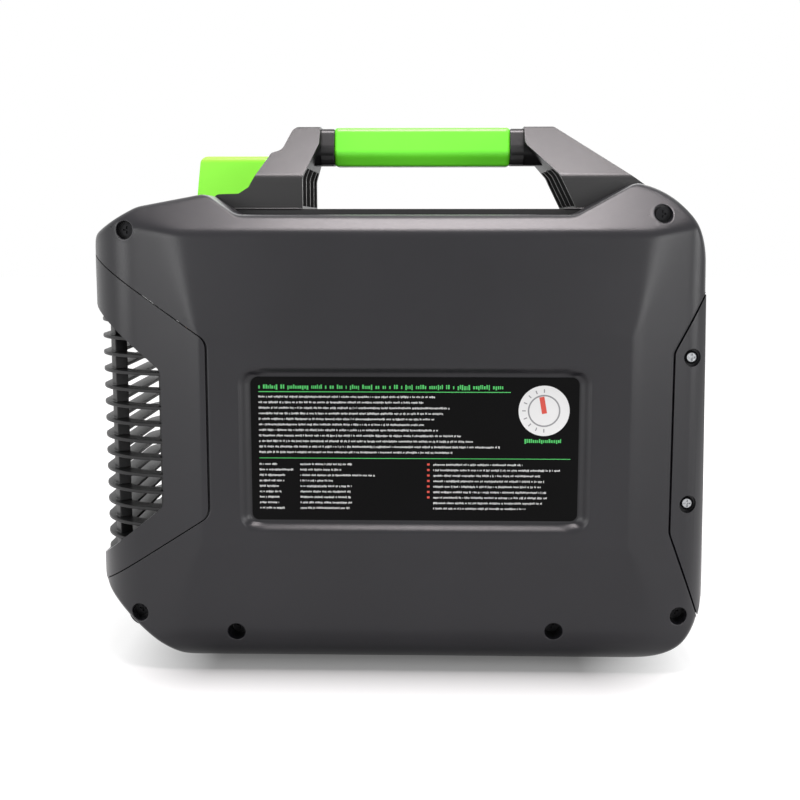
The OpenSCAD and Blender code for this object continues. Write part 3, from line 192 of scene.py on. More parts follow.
def resampled(outline: np.ndarray, step: float, closed: bool = True) -> np.ndarray:
    """Adds points along an outline, so that no two are further apart than the step.

    Args:
        outline: rows of two coordinates.
        step: largest distance between two points.
        closed: whether the last point joins the first one.

    Returns:
        The old points and the new ones, in order.
    """
    path = np.vstack([outline, outline[:1]]) if closed else outline
    length = np.concatenate([[0.0], np.cumsum(np.linalg.norm(np.diff(path, axis=0), axis=1))])
    even = np.linspace(0.0, length[-1], int(length[-1] / step) + 2)
    place = np.unique(np.concatenate([length, even]))
    keep = np.concatenate([[True], np.diff(place) > 1e-6])
    place = place[keep][: -1 if closed else None]
    return np.stack([np.interp(place, length, path[:, 0]), np.interp(place, length, path[:, 1])], axis=1)


def polar_reach(
    outline: np.ndarray, middle: tuple[float, float], angle: np.ndarray, closed: bool = True
) -> np.ndarray:
    """Distance from a middle to an outline, along each angle.

    Args:
        outline: points close together, each seen from the middle.
        middle: the point that the angles turn about.
        angle: the angles asked for, in radians.
        closed: whether the outline goes all the way round.

    Returns:
        The distances, endless where an open outline isn't met.
    """
    offset = outline - np.array(middle)
    turn = np.arctan2(offset[:, 1], offset[:, 0]) % TURN
    reach = np.hypot(offset[:, 0], offset[:, 1])
    order = np.argsort(turn)
    turn, reach = turn[order], reach[order]
    asked = angle % TURN
    if not closed:
        gap = np.argmax(np.diff(np.concatenate([turn, turn[:1] + TURN])))
        base = turn[(gap + 1) % len(turn)]
        turn, asked = (turn - base) % TURN, (asked - base) % TURN
        order = np.argsort(turn)
        return np.interp(asked, turn[order], reach[order], right=np.inf)
    return np.interp(asked, turn, reach, period=TURN)


def edge_roll(distance: np.ndarray, radius: np.ndarray | float) -> np.ndarray:
    """How far a surface sinks beside a round edge: a quarter circle of that radius, met at the edge."""
    inside = np.clip(1.0 - distance / radius, 0.0, 1.0)
    return radius * (1.0 - np.sqrt(np.clip(1.0 - inside**2, 0.0, 1.0)))


def roll_steps(count: int) -> np.ndarray:
    """Shares of a round edge's radius that lie evenly along its quarter circle."""
    return 1.0 - np.cos(np.linspace(0.0, math.pi / 2.0, count))


def make_mesh(
    name: str, patches: list[Patch], sharp: float = 35.0, turn_out: bool = False
) -> bpy.types.Object:
    """Joins patches into one mesh object with welded seams.

    Args:
        name: name of the piece.
        patches: its patches.
        sharp: angle in degrees past which an edge stays sharp.
        turn_out: recalculate the faces of a closed shape so that they point outwards.

    Returns:
        The new object, at the origin.
    """
    starts = np.cumsum([0] + [len(p.points) for p in patches[:-1]])
    points = np.vstack([p.points for p in patches]) * MM
    faces = [row for p, start in zip(patches, starts) for row in (p.faces + start).tolist()]
    mesh = bpy.data.meshes.new(name)
    mesh.from_pydata(points.tolist(), [], faces)
    mesh.validate()
    work = bmesh.new()
    work.from_mesh(mesh)
    bmesh.ops.remove_doubles(work, verts=work.verts, dist=WELD_GAP * MM)
    bmesh.ops.dissolve_degenerate(work, edges=work.edges, dist=SLIVER * MM)
    if turn_out:
        bmesh.ops.recalc_face_normals(work, faces=work.faces)
    work.to_mesh(mesh)
    work.free()
    mesh.shade_smooth()
    mesh.set_sharp_from_angle(angle=math.radians(sharp))
    piece = bpy.data.objects.new(name, mesh)
    bpy.context.scene.collection.objects.link(piece)
    return piece


def lathe(profile: np.ndarray, middle: tuple[float, float, float], count: int = 64) -> Patch:
    """Turns a profile about Y: at angle a the point is radius times (sin a, cos a) beside its height.

    Args:
        profile: rows of radius and height along Y.
        middle: where height nothing lies.
        count: number of points round the axis.

    Returns:
        The closed surface.
    """
    angle = np.linspace(0.0, TURN, count, endpoint=False)
    across = profile[:, :1] * np.cos(angle)
    up = profile[:, :1] * np.sin(angle)
    along = np.repeat(profile[:, 1:2], count, axis=1)
    return Patch.grid(np.stack([up, along, across], axis=-1) + np.array(middle), around=True)


def carried(outline: np.ndarray, path_x: np.ndarray, shrink: np.ndarray) -> Patch:
    """Carries a closed outline in Y and Z along X, scaled about its own middle at each station.

    Args:
        outline: rows of y and z.
        path_x: the stations along X.
        shrink: the scale of the outline at each station.

    Returns:
        The surface, with both ends drawn to their middle when the scale there is nothing.
    """
    middle = outline.mean(axis=0)
    ring = middle + (outline - middle)[None, :, :] * shrink[:, None, None]
    x = np.broadcast_to(path_x[:, None, None], ring.shape[:2] + (1,))
    return Patch.grid(np.concatenate([x, ring], axis=2), around=True)


def prism(outline: np.ndarray, y0: float, y1: float) -> list[Patch]:
    """Pushes a flat outline in X and Z through from y0 to y1, with both ends closed.

    Args:
        outline: rows of x and z.
        y0: the first depth.
        y1: the second depth.

    Returns:
        The side faces and the two ends.
    """
    count = len(outline)
    depth = np.repeat([y0, y1], count)
    points = np.column_stack([np.tile(outline[:, 0], 2), depth, np.tile(outline[:, 1], 2)])
    index = np.arange(count)
    sides = Patch.grid(points.reshape(2, count, 3), around=True)
    return [sides, Patch(points, np.stack([index, index[::-1] + count]))]


class Groups:
    """Shader node groups that several finishes share, and the small nodes that they are made of."""

    EVEN = (1.0, 1.0, 1.0)
    BRUSH_STRETCH = (1.0, 1.0, 0.04)
    RELIEF_SCALE = 1200.0
    RELIEF_DETAIL = {Texture.MOULDED: 3.0, Texture.BRUSHED: 3.0, Texture.CAST: 6.0, Texture.SMOOTH: 1.0}
    RELIEF_BAND = (0.35, 0.65)
    DRIFT_SCALE = 14.0
    DRIFT_DETAIL = 4.0
    DRIFT_BAND = (0.3, 0.7)
    DUST_AMOUNT = 0.1
    DUST_SCALE = 160.0
    DUST_DETAIL = 8.0
    DUST_BAND = (0.42, 0.7)
    UPWARD_BAND = (0.35, 1.0)

    made: dict[str, bpy.types.NodeTree] = {}

    @classmethod
    def start(
        cls, name: str, inputs: dict[str, float], outputs: list[str]
    ) -> tuple[bpy.types.NodeTree, bpy.types.Node, bpy.types.Node]:
        """Opens a new group with number inputs and number outputs.

        Args:
            name: name of the group.
            inputs: the inputs and their first values.
            outputs: names of the outputs.

        Returns:
            The tree, its input node and its output node.
        """
        tree = bpy.data.node_groups.new(name, "ShaderNodeTree")
        for key, value in inputs.items():
            socket = tree.interface.new_socket(key, in_out="INPUT", socket_type="NodeSocketFloat")
            socket.default_value = value
        for key in outputs:
            tree.interface.new_socket(key, in_out="OUTPUT", socket_type="NodeSocketFloat")
        cls.made[name] = tree
        return tree, tree.nodes.new("NodeGroupInput"), tree.nodes.new("NodeGroupOutput")

    @staticmethod
    def noise(tree: bpy.types.NodeTree, stretch: tuple[float, float, float], detail: float) -> bpy.types.Node:
        """Adds a noise on the piece's own coordinates.

        Args:
            tree: the tree that takes it.
            stretch: the scale along each axis, small where the noise is drawn out.
            detail: how fine the noise is broken up.

        Returns:
            The noise node.
        """
        spot = tree.nodes.new("ShaderNodeTexCoord")
        turn = tree.nodes.new("ShaderNodeMapping")
        turn.inputs["Scale"].default_value = stretch
        noise = tree.nodes.new("ShaderNodeTexNoise")
        noise.inputs["Detail"].default_value = detail
        tree.links.new(spot.outputs["Object"], turn.inputs["Vector"])
        tree.links.new(turn.outputs["Vector"], noise.inputs["Vector"])
        return noise

    @staticmethod
    def ramp(
        tree: bpy.types.NodeTree, source: bpy.types.NodeSocket, low: float, high: float,
        result: tuple[float, float] = (0.0, 1.0),
    ) -> bpy.types.NodeSocket:
        """Spreads the stretch from low to high over the result, in a straight line.

        Args:
            tree: the tree that takes the node.
            source: the number to spread.
            low: the number that gives the first result.
            high: the number that gives the second one.
            result: the first and the second result.

        Returns:
            The socket of the result.
        """
        spread = tree.nodes.new("ShaderNodeMapRange")
        spread.inputs["From Min"].default_value = low
        spread.inputs["From Max"].default_value = high
        spread.inputs["To Min"].default_value = result[0]
        spread.inputs["To Max"].default_value = result[1]
        tree.links.new(source, spread.inputs["Value"])
        return spread.outputs["Result"]

    @staticmethod
    def number(
        tree: bpy.types.NodeTree, kind: str, first: bpy.types.NodeSocket, second: bpy.types.NodeSocket
    ) -> bpy.types.NodeSocket:
        """Works out one number from two.

        Args:
            tree: the tree that takes the node.
            kind: the operation of the node.
            first: the first number.
            second: the second number.

        Returns:
            The socket of the result.
        """
        node = tree.nodes.new("ShaderNodeMath")
        node.operation = kind
        tree.links.new(first, node.inputs[0])
        tree.links.new(second, node.inputs[1])
        return node.outputs["Value"]

    @staticmethod
    def vector(
        tree: bpy.types.NodeTree, kind: str, first: bpy.types.NodeSocket,
        second: tuple[float, float, float] = (0.0, 0.0, 0.0),
    ) -> bpy.types.NodeSocket:
        """Works out a vector, a length or a distance from a vector and a fixed one.

        Args:
            tree: the tree that takes the node.
            kind: the operation of the node.
            first: the vector that changes over the surface.
            second: the fixed vector.

        Returns:
            The socket of the result.
        """
        node = tree.nodes.new("ShaderNodeVectorMath")
        node.operation = kind
        node.inputs[1].default_value = second
        tree.links.new(first, node.inputs[0])
        return node.outputs["Value" if kind in ("LENGTH", "DISTANCE") else "Vector"]

    @classmethod
    def texture(cls, kind: Texture) -> bpy.types.NodeTree:
        """Fine relief of a surface, with a mask that follows it.

        Args:
            kind: which relief.

        Returns:
            The group, with the input Scale and the outputs Height and Mask.
        """
        name = f"{kind.value}_relief"
        if name in cls.made:
            return cls.made[name]
        tree, source, result = cls.start(name, {"Scale": cls.RELIEF_SCALE}, ["Height", "Mask"])
        stretch = cls.BRUSH_STRETCH if kind is Texture.BRUSHED else cls.EVEN
        noise = cls.noise(tree, stretch, cls.RELIEF_DETAIL[kind])
        tree.links.new(source.outputs["Scale"], noise.inputs["Scale"])
        tree.links.new(noise.outputs["Fac"], result.inputs["Height"])
        tree.links.new(cls.ramp(tree, noise.outputs["Fac"], *cls.RELIEF_BAND), result.inputs["Mask"])
        return tree

    @classmethod
    def drift(cls) -> bpy.types.NodeTree:
        """Slow change of tone over a surface, as handling and moulding leave it.

        Returns:
            The group, with the input Scale and the output Tone.
        """
        name = "tone_drift"
        if name in cls.made:
            return cls.made[name]
        tree, source, result = cls.start(name, {"Scale": cls.DRIFT_SCALE}, ["Tone"])
        noise = cls.noise(tree, cls.EVEN, cls.DRIFT_DETAIL)
        tree.links.new(source.outputs["Scale"], noise.inputs["Scale"])
        tree.links.new(cls.ramp(tree, noise.outputs["Fac"], *cls.DRIFT_BAND), result.inputs["Tone"])
        return tree

    @classmethod
    def dust(cls) -> bpy.types.NodeTree:
        """Settled dust: speckled, and only where the surface faces up.

        Returns:
            The group, with the input Amount and the output Dust.
        """
        name = "settled_dust"
        if name in cls.made:
            return cls.made[name]
        tree, source, result = cls.start(name, {"Amount": cls.DUST_AMOUNT}, ["Dust"])
        noise = cls.noise(tree, cls.EVEN, cls.DUST_DETAIL)
        noise.inputs["Scale"].default_value = cls.DUST_SCALE
        facing = tree.nodes.new("ShaderNodeNewGeometry")
        split = tree.nodes.new("ShaderNodeSeparateXYZ")
        tree.links.new(facing.outputs["Normal"], split.inputs["Vector"])
        upward = cls.ramp(tree, split.outputs["Z"], *cls.UPWARD_BAND)
        speckle = cls.ramp(tree, noise.outputs["Fac"], *cls.DUST_BAND)
        both = cls.number(tree, "MULTIPLY", upward, speckle)
        amount = cls.number(tree, "MULTIPLY", both, source.outputs["Amount"])
        tree.links.new(amount, result.inputs["Dust"])
        return tree


@dataclass(frozen=True)
class Finish:
    """A material: its two tones, how it shines and how its surface is broken up."""

    DUST_TONE: ClassVar[Colour] = (0.42, 0.40, 0.37)
    RELIEF_DEPTH: ClassVar[float] = 0.2

    name: str
    slot: str
    colour: Colour
    second: Colour
    roughness: tuple[float, float]
    texture: Texture = Texture.MOULDED
    grain: float = 2200.0
    relief: float = 0.12
    metallic: float = 0.0
    coat: float = 0.0
    specular: float = 0.5
    dust: float = 0.0
    drift: float = 14.0

    def material(self) -> bpy.types.Material:
        """Makes the material: drift mixes the tones, dust lies over them and relief breaks the shine.

        Returns:
            The material, or the one that was made before.
        """
        found = bpy.data.materials.get(self.name)
        if found:
            return found
        made = bpy.data.materials.new(self.name)
        made.use_nodes = True
        tree = made.node_tree
        shader = tree.nodes["Principled BSDF"]
        shader.inputs["Metallic"].default_value = self.metallic
        shader.inputs["Coat Weight"].default_value = self.coat
        shader.inputs["Specular IOR Level"].default_value = self.specular
        drift = self._group(tree, Groups.drift(), "Scale", self.drift)
        relief = self._group(tree, Groups.texture(self.texture), "Scale", self.grain)
        tone = self._blend(tree, drift.outputs["Tone"], self.colour, self.second)
        if self.dust > 0:
            dust = self._group(tree, Groups.dust(), "Amount", self.dust)
            settled = self._blend(tree, dust.outputs["Dust"], self.colour, self.DUST_TONE)
            tree.links.new(tone.outputs["Result"], settled.inputs[MIX_FIRST])
            tone = settled
        tree.links.new(tone.outputs["Result"], shader.inputs["Base Color"])
        rough = Groups.ramp(tree, relief.outputs["Mask"], 0.0, 1.0, self.roughness)
        tree.links.new(rough, shader.inputs["Roughness"])
        bump = tree.nodes.new("ShaderNodeBump")
        bump.inputs["Strength"].default_value = self.relief
        bump.inputs["Distance"].default_value = self.RELIEF_DEPTH * MM
        tree.links.new(relief.outputs["Height"], bump.inputs["Height"])
        tree.links.new(bump.outputs["Normal"], shader.inputs["Normal"])
        return made

    @staticmethod
    def _group(
        tree: bpy.types.NodeTree, group: bpy.types.NodeTree, key: str, value: float
    ) -> bpy.types.Node:
        """Places a shared group in a material.

        Args:
            tree: the tree of the material.
            group: the shared group.
            key: the input that this material sets.
            value: its value.

        Returns:
            The node of the group.
        """
        node = tree.nodes.new("ShaderNodeGroup")
        node.node_tree = group
        node.inputs[key].default_value = value
        return node

    @staticmethod
    def _blend(
        tree: bpy.types.NodeTree, mask: bpy.types.NodeSocket, low: Colour, high: Colour
    ) -> bpy.types.Node:
        """Mixes two colours by a mask.

        Args:
            tree: the tree of the material.
            mask: the share of the second colour.
            low: the first colour.
            high: the second colour.

        Returns:
            The mixing node.
        """
        node = tree.nodes.new("ShaderNodeMix")
        node.data_type = "RGBA"
        node.inputs[MIX_FIRST].default_value = (*low, 1.0)
        node.inputs[MIX_SECOND].default_value = (*high, 1.0)
        tree.links.new(mask, node.inputs["Factor"])
        return node

    def dress(self, piece: bpy.types.Object) -> None:
        """Gives a piece this material only."""
        piece.data.materials.clear()
        piece.data.materials.append(self.material())


@dataclass(frozen=True)
class HeadFinish(Finish):
    """The metal of two screws along Y: bright metal about the middle of each head, and painted shade of its
    deep well darkening the rim.
    """

    centres: tuple[tuple[float, float], tuple[float, float]] = ((0.0, 0.0), (0.0, 0.0))
    core: float = 2.7
    fade: float = 0.3
    # painted shade: a near-black tone mixed over each head's rim, standing in for the shade of its deep well
    rim: Colour = (0.003, 0.003, 0.0033)

    def material(self) -> bpy.types.Material:
        """Makes the material, with painted shade mixed over the tone at the rim, by the distance from the
        nearest axis.

        Returns:
            The material, or the one that was made before.
        """
        found = bpy.data.materials.get(self.name)
        if found:
            return found
        made = super().material()
        tree = made.node_tree
        spot = tree.nodes.new("ShaderNodeTexCoord").outputs["Object"]
        flat = Groups.vector(tree, "MULTIPLY", spot, (1.0, 0.0, 1.0))
        away = [Groups.vector(tree, "DISTANCE", flat, (x * MM, 0.0, z * MM)) for x, z in self.centres]
        nearest = Groups.number(tree, "MINIMUM", *away)
        mask = Groups.ramp(tree, nearest, self.core * MM, (self.core + self.fade) * MM)
        # painted shade of the well, mixed over the rim of each head
        mix = self._blend(tree, mask, self.colour, self.rim)
        colour = tree.nodes["Principled BSDF"].inputs["Base Color"]
        tree.links.new(colour.links[0].from_socket, mix.inputs[MIX_FIRST])
        tree.links.new(mix.outputs["Result"], colour)
        return made


def metal(
    name: str, slot: str, colour: Colour, second: Colour, roughness: tuple[float, float],
    texture: Texture = Texture.BRUSHED, grain: float = 900.0, relief: float = 0.05,
) -> Finish:
    """A finish of bare or plated metal."""
    return Finish(name, slot, colour, second, roughness, texture, grain, relief, metallic=1.0)


def ink(name: str, colour: Colour, second: Colour) -> Finish:
    """A printing ink on the label film."""
    return Finish(name, "label_film", colour, second, (0.4, 0.5), Texture.SMOOTH)


CASE_GREY = Finish(
    "case_grey", "case_plastic", (0.0076, 0.0073, 0.0094), (0.0104, 0.01, 0.0126), (0.28, 0.36),
    grain=1500.0, relief=0.12, dust=0.012, specular=0.36)
BRACKET_GREY = Finish(
    "bracket_grey", "case_plastic", (0.0118, 0.0116, 0.012), (0.0155, 0.0152, 0.0158), (0.28, 0.38),
    grain=1500.0, relief=0.12, dust=0.012, specular=0.42)
# Painted shade: the case plastic made darker and matt on the legs' inner faces, where the hand gap lies in
# shade.
HAND_GAP_SHADE = Finish(
    "case_plastic_painted_shade", "case_plastic", (0.005, 0.005, 0.0052), (0.007, 0.007, 0.0073), (0.36, 0.46),
    grain=1500.0, relief=0.14, specular=0.3)
COLLAR_BLACK = Finish(
    "collar_black", "trim_plastic", (0.005, 0.005, 0.0052), (0.0075, 0.0075, 0.008), (0.42, 0.55),
    grain=1800.0, relief=0.1, specular=0.25)
TRIM_BLACK = Finish(
    "trim_black", "trim_plastic", (0.012, 0.012, 0.013), (0.018, 0.018, 0.019), (0.34, 0.46),
    grain=1800.0, relief=0.1, dust=0.04)
GRILLE_BLACK = Finish(
    "grille_black", "trim_plastic", (0.0055, 0.0055, 0.006), (0.008, 0.008, 0.0085), (0.34, 0.46),
    grain=1800.0, relief=0.08, specular=0.3)
LIME = Finish(
    "lime_plastic_satin", "lime_plastic", (0.12, 0.68, 0.02), (0.14, 0.72, 0.026), (0.34, 0.42),
    grain=2600.0, relief=0.06)
# Painted light: the same lime plastic as the grip, made paler so that the hood looks more brightly lit.
LIME_PAINTED_LIGHT = Finish(
    "lime_plastic_painted_light", "lime_plastic", (0.26, 0.94, 0.032), (0.29, 0.96, 0.042), (0.34, 0.42),
    grain=2600.0, relief=0.06)
LABEL_FILM = Finish(
    "label_film_black", "label_film", (0.0015, 0.0015, 0.0015), (0.0022, 0.0022, 0.0024), (0.34, 0.4),
    Texture.SMOOTH, grain=900.0, relief=0.02, specular=0.06)
INK_WHITE = ink("ink_white", (0.62, 0.62, 0.62), (0.7, 0.7, 0.7))
INK_GREEN = ink("ink_green", (0.05, 0.42, 0.09), (0.06, 0.5, 0.11))
INK_RED = ink("ink_red", (0.5, 0.05, 0.03), (0.56, 0.06, 0.04))
INK_GREY = ink("ink_grey", (0.2, 0.2, 0.21), (0.25, 0.25, 0.26))
ZINC = metal("zinc_plate", "zinc_steel", (0.56, 0.57, 0.6), (0.66, 0.67, 0.69), (0.24, 0.4))
# Painted shade: the shell screws are zinc-plated, and this near-black tone stands in for the shade of their
# deep wells.
WELL_SHADED_ZINC = metal("zinc_painted_well_shade", "zinc_steel", (0.01, 0.01, 0.011), (0.02, 0.02, 0.021), (0.3, 0.44))
# Cover screws: bright metal at the middle of each head, with painted shade of the well at the rim.
SCREW_BRIGHT = HeadFinish(
    "screw_bright", "zinc_steel", (0.3, 0.31, 0.32), (0.38, 0.39, 0.4), (0.26, 0.4),
    Texture.BRUSHED, grain=900.0, relief=0.05, metallic=1.0)
DISPLAY_GLASS = Finish(
    "display_glass_dark", "display_glass", (0.004, 0.005, 0.005), (0.006, 0.007, 0.007), (0.08, 0.12),
    Texture.SMOOTH, grain=300.0, relief=0.01)
STEEL = metal("bare_steel", "bare_steel", (0.5, 0.51, 0.53), (0.58, 0.59, 0.6), (0.2, 0.36), grain=1200.0)
CAST = metal(
    "cast_alloy", "cast_alloy", (0.4, 0.41, 0.42), (0.5, 0.51, 0.52), (0.45, 0.62), Texture.CAST, 700.0, 0.3)
FIN = metal("fin_alloy", "fin_alloy", (0.72, 0.73, 0.75), (0.8, 0.81, 0.82), (0.28, 0.4))
BRASS = metal(
    "brass_fitting", "brass_fitting", (0.66, 0.45, 0.16), (0.74, 0.53, 0.22), (0.2, 0.34), grain=1400.0)
COPPER = metal(
    "copper_tube", "copper_tube", (0.66, 0.3, 0.15), (0.74, 0.37, 0.2), (0.24, 0.4),
    Texture.SMOOTH, 600.0, 0.06)
ENAMEL = Finish(
    "motor_enamel", "motor_paint", (0.03, 0.03, 0.034), (0.04, 0.04, 0.045), (0.3, 0.4),
    Texture.CAST, grain=500.0, relief=0.1, coat=0.2)
RUBBER = Finish(
    "foot_rubber", "foot_rubber", (0.012, 0.012, 0.012), (0.018, 0.018, 0.018), (0.62, 0.78),
    grain=1400.0, relief=0.2)
CIRCUIT = Finish(
    "circuit_green", "circuit_green", (0.015, 0.11, 0.04), (0.02, 0.14, 0.05), (0.3, 0.42),
    Texture.SMOOTH, grain=700.0, relief=0.05)
START_GREEN = Finish(
    "start_green", "start_green", (0.006, 0.2, 0.03), (0.008, 0.24, 0.036), (0.36, 0.46),
    grain=2600.0, relief=0.04, specular=0.15)
STOP_RED = Finish(
    "stop_red", "stop_red", (0.45, 0.006, 0.005), (0.52, 0.008, 0.006), (0.36, 0.46),
    grain=2600.0, relief=0.04, specular=0.15)
KNOB_WHITE = Finish(
    "knob_white", "knob_white", (0.8, 0.8, 0.8), (0.84, 0.84, 0.84), (0.35, 0.45), Texture.SMOOTH)

NODE_FINISH: dict[Finish, tuple[str, ...]] = {
    TRIM_BLACK: (
        "button_switches", "cooling_fan", "fan_shroud", "power_inlet", "switch_frame", "control_panel"),
    STEEL: ("handle_bar", "valve_stem", "inlet_filter", "power_pins", "motor_bearings", "motor_shaft"),
    ZINC: ("handle_screws", "foot_screws", "chassis_tray", "head_bolts", "board_bracket"),
    # shell screws: painted well shade over their zinc
    WELL_SHADED_ZINC: ("shell_screws",),
    DISPLAY_GLASS: ("display_lens",),
    CAST: ("valve_block", "crankcase", "cylinder_barrels", "cylinder_heads"),
    FIN: ("condenser_fins",),
    COPPER: ("condenser_tubes", "suction_pipe", "discharge_pipe", "liquid_pipe"),
    BRASS: ("inlet_port", "outlet_port", "pressure_switch", "board_spacers"),
    ENAMEL: ("motor_housing", "run_capacitor"),
    RUBBER: ("rubber_feet", "vibration_mounts"),
    CIRCUIT: ("display_board", "control_board"),
    KNOB_WHITE: ("knob_pointer",),
    LABEL_FILM: ("rear_label",),
}
LABEL_MOUTH = (223.0, 108.0, 12.0)
LABEL_FLOOR = (208.2, 93.2, 5.0)
LABEL_RECESS = 5.0
BAY_PLAY = 1.6
BAY_CORNER = 14.0
BAY_FLOOR_GAP = 0.02
COLLAR_GAP = 0.2
LEFT_COLLAR = 20.0
RIGHT_COLLAR = 25.0
DECK_RISE = 4.0


def place(
    piece: bpy.types.Object, body: Body, finish: Finish, nodes: tuple[str, ...] = ()
) -> bpy.types.Object:
    """Dresses a piece, makes it ride on a body and stand for CAD nodes.

    Args:
        piece: the new piece.
        body: the body that carries it.
        finish: its material.
        nodes: the CAD nodes that it stands for.

    Returns:
        The same piece.
    """
    finish.dress(piece)
    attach(piece, body.value)
    if nodes:
        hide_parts(*nodes)
    log.info("%s rides on %s", piece.name, body.value)
    return piece


@dataclass
class CaseForm:
    """The outer form of the case: a side outline, a cross section and a plan that cut each other."""

    half_length: float
    half_depth: float
    bottom: float
    shoulder: float
    horn_rise: float = 20.5
    chamfer_drop: float = 11.0
    pad_low: float = 85.0
    pad_high: float = 221.0
    toe_in: float = 8.0
    lean_in: float = 4.0
    toe_round: float = 30.0
    pad_round: float = 60.0
    chamfer_round: float = 10.0
    past_horn: float = 10.0
    vent_taper: float = 75.0
    vent_set: float = 20.0
    vent_corner: float = 48.0
    cover_taper: float = 53.0
    cover_set: float = 14.0
    cover_corner: float = 25.0
    proud: float = 0.4
    mitre: float = 4.0
    spacing: float = 1.0

    @property
    def horn(self) -> float:
        """Height of the horns beside the handle."""
        return self.shoulder + self.horn_rise

    @property
    def chamfer(self) -> float:
        """Height where the top chamfer starts."""
        return self.shoulder - self.chamfer_drop

    def side_outline(self) -> np.ndarray:
        """The outline of the case as the label side shows it: straight stretches and arcs.

        Returns:
            Rows of x and z.
        """
        end, top, low, deck = self.half_length, self.horn, self.bottom, self.shoulder
        foot = [(-end + 60, low, 20), (end, low, 50)]
        right_horn = [(end - 7, top - 30, 54), (end - 30, top - 5, 45), (end - 48, top, 10)]
        valley = [(end - 88, deck, 16), (-end + 98, deck, 14)]
        left_horn = [(-end + 77, top - 7, 12), (-end + 34, top - 15.5, 20), (-end, top - 35, 12)]
        vent_toe = [(-end, low + 50, 25)]
        return resampled(rounded(foot + right_horn + valley + left_horn + vent_toe), self.spacing)

    def wells(self) -> list[tuple[float, float]]:
        """The middles of the screw wells, each as its x and z.

        Returns:
            The two upper ones, then the four lower ones from left to right.
        """
        end, top, low = self.half_length, self.shoulder, self.bottom
        upper = [(-end + 28, top - 9.5), (end - 34, top + 0.5)]
        lower_left = [(-end + 31.5, low + 34), (-end + 95.5, low + 23)]
        lower_right = [(end - 99, low + 25), (end - 18.5, low + 35)]
        return upper + lower_left + lower_right

    def section_half(self, z: np.ndarray) -> np.ndarray:
        """Half the width of the cross section: a toe, a flat pad, a lean and a chamfer of 45 degrees.

        Args:
            z: heights.

        Returns:
            The half widths.
        """
        deep, foot = self.half_depth, self.bottom - self.proud
        lean = deep - self.lean_in
        rise = self.horn + self.past_horn - self.chamfer
        line = rounded([
            (0.0, foot, 0), (deep - self.toe_in, foot, self.toe_round), (deep, self.pad_low, self.pad_round),
            (deep, self.pad_high, self.pad_round), (lean, self.chamfer, self.chamfer_round),
            (lean - rise, self.chamfer + rise, 0),
        ], 1.0, closed=False)
        return np.interp(z, line[1:, 1], line[1:, 0])

    def plan_line(self) -> np.ndarray:
        """The rear edge of the plan, from the middle of the vent end to the middle of the cover end.

        Returns:
            Rows of x and y.
        """
        end, deep = self.half_length + self.proud, self.half_depth + self.proud
        return rounded([
            (-end, 0.0, 0), (-end, -deep + self.vent_set, self.vent_corner),
            (-end + self.vent_taper + self.proud, -deep, self.pad_round),
            (end - self.cover_taper - self.proud, -deep, self.pad_round),
            (end, -deep + self.cover_set, self.cover_corner), (end, 0.0, 0),
        ], 1.0, closed=False)

    def plan_half(self, x: np.ndarray) -> np.ndarray:
        """Half the depth of the plan at a place along the case."""
        line = self.plan_line()[1:-1]
        return np.interp(x, line[:, 0], -line[:, 1])

    def depth(self, x: np.ndarray, z: np.ndarray) -> np.ndarray:
        """Distance of the skin from the middle plane.

        The two sinkings, by the section and by the plan, are joined as the root of the sum of their powers,
        which rounds the mitres between them.

        Args:
            x: places along the case.
            z: heights.

        Returns:
            The distances.
        """
        across = np.clip(self.half_depth - self.section_half(z), 0.0, None)
        along = np.clip(self.half_depth - self.plan_half(x), 0.0, None)
        return self.half_depth - (across**self.mitre + along**self.mitre) ** (1.0 / self.mitre)


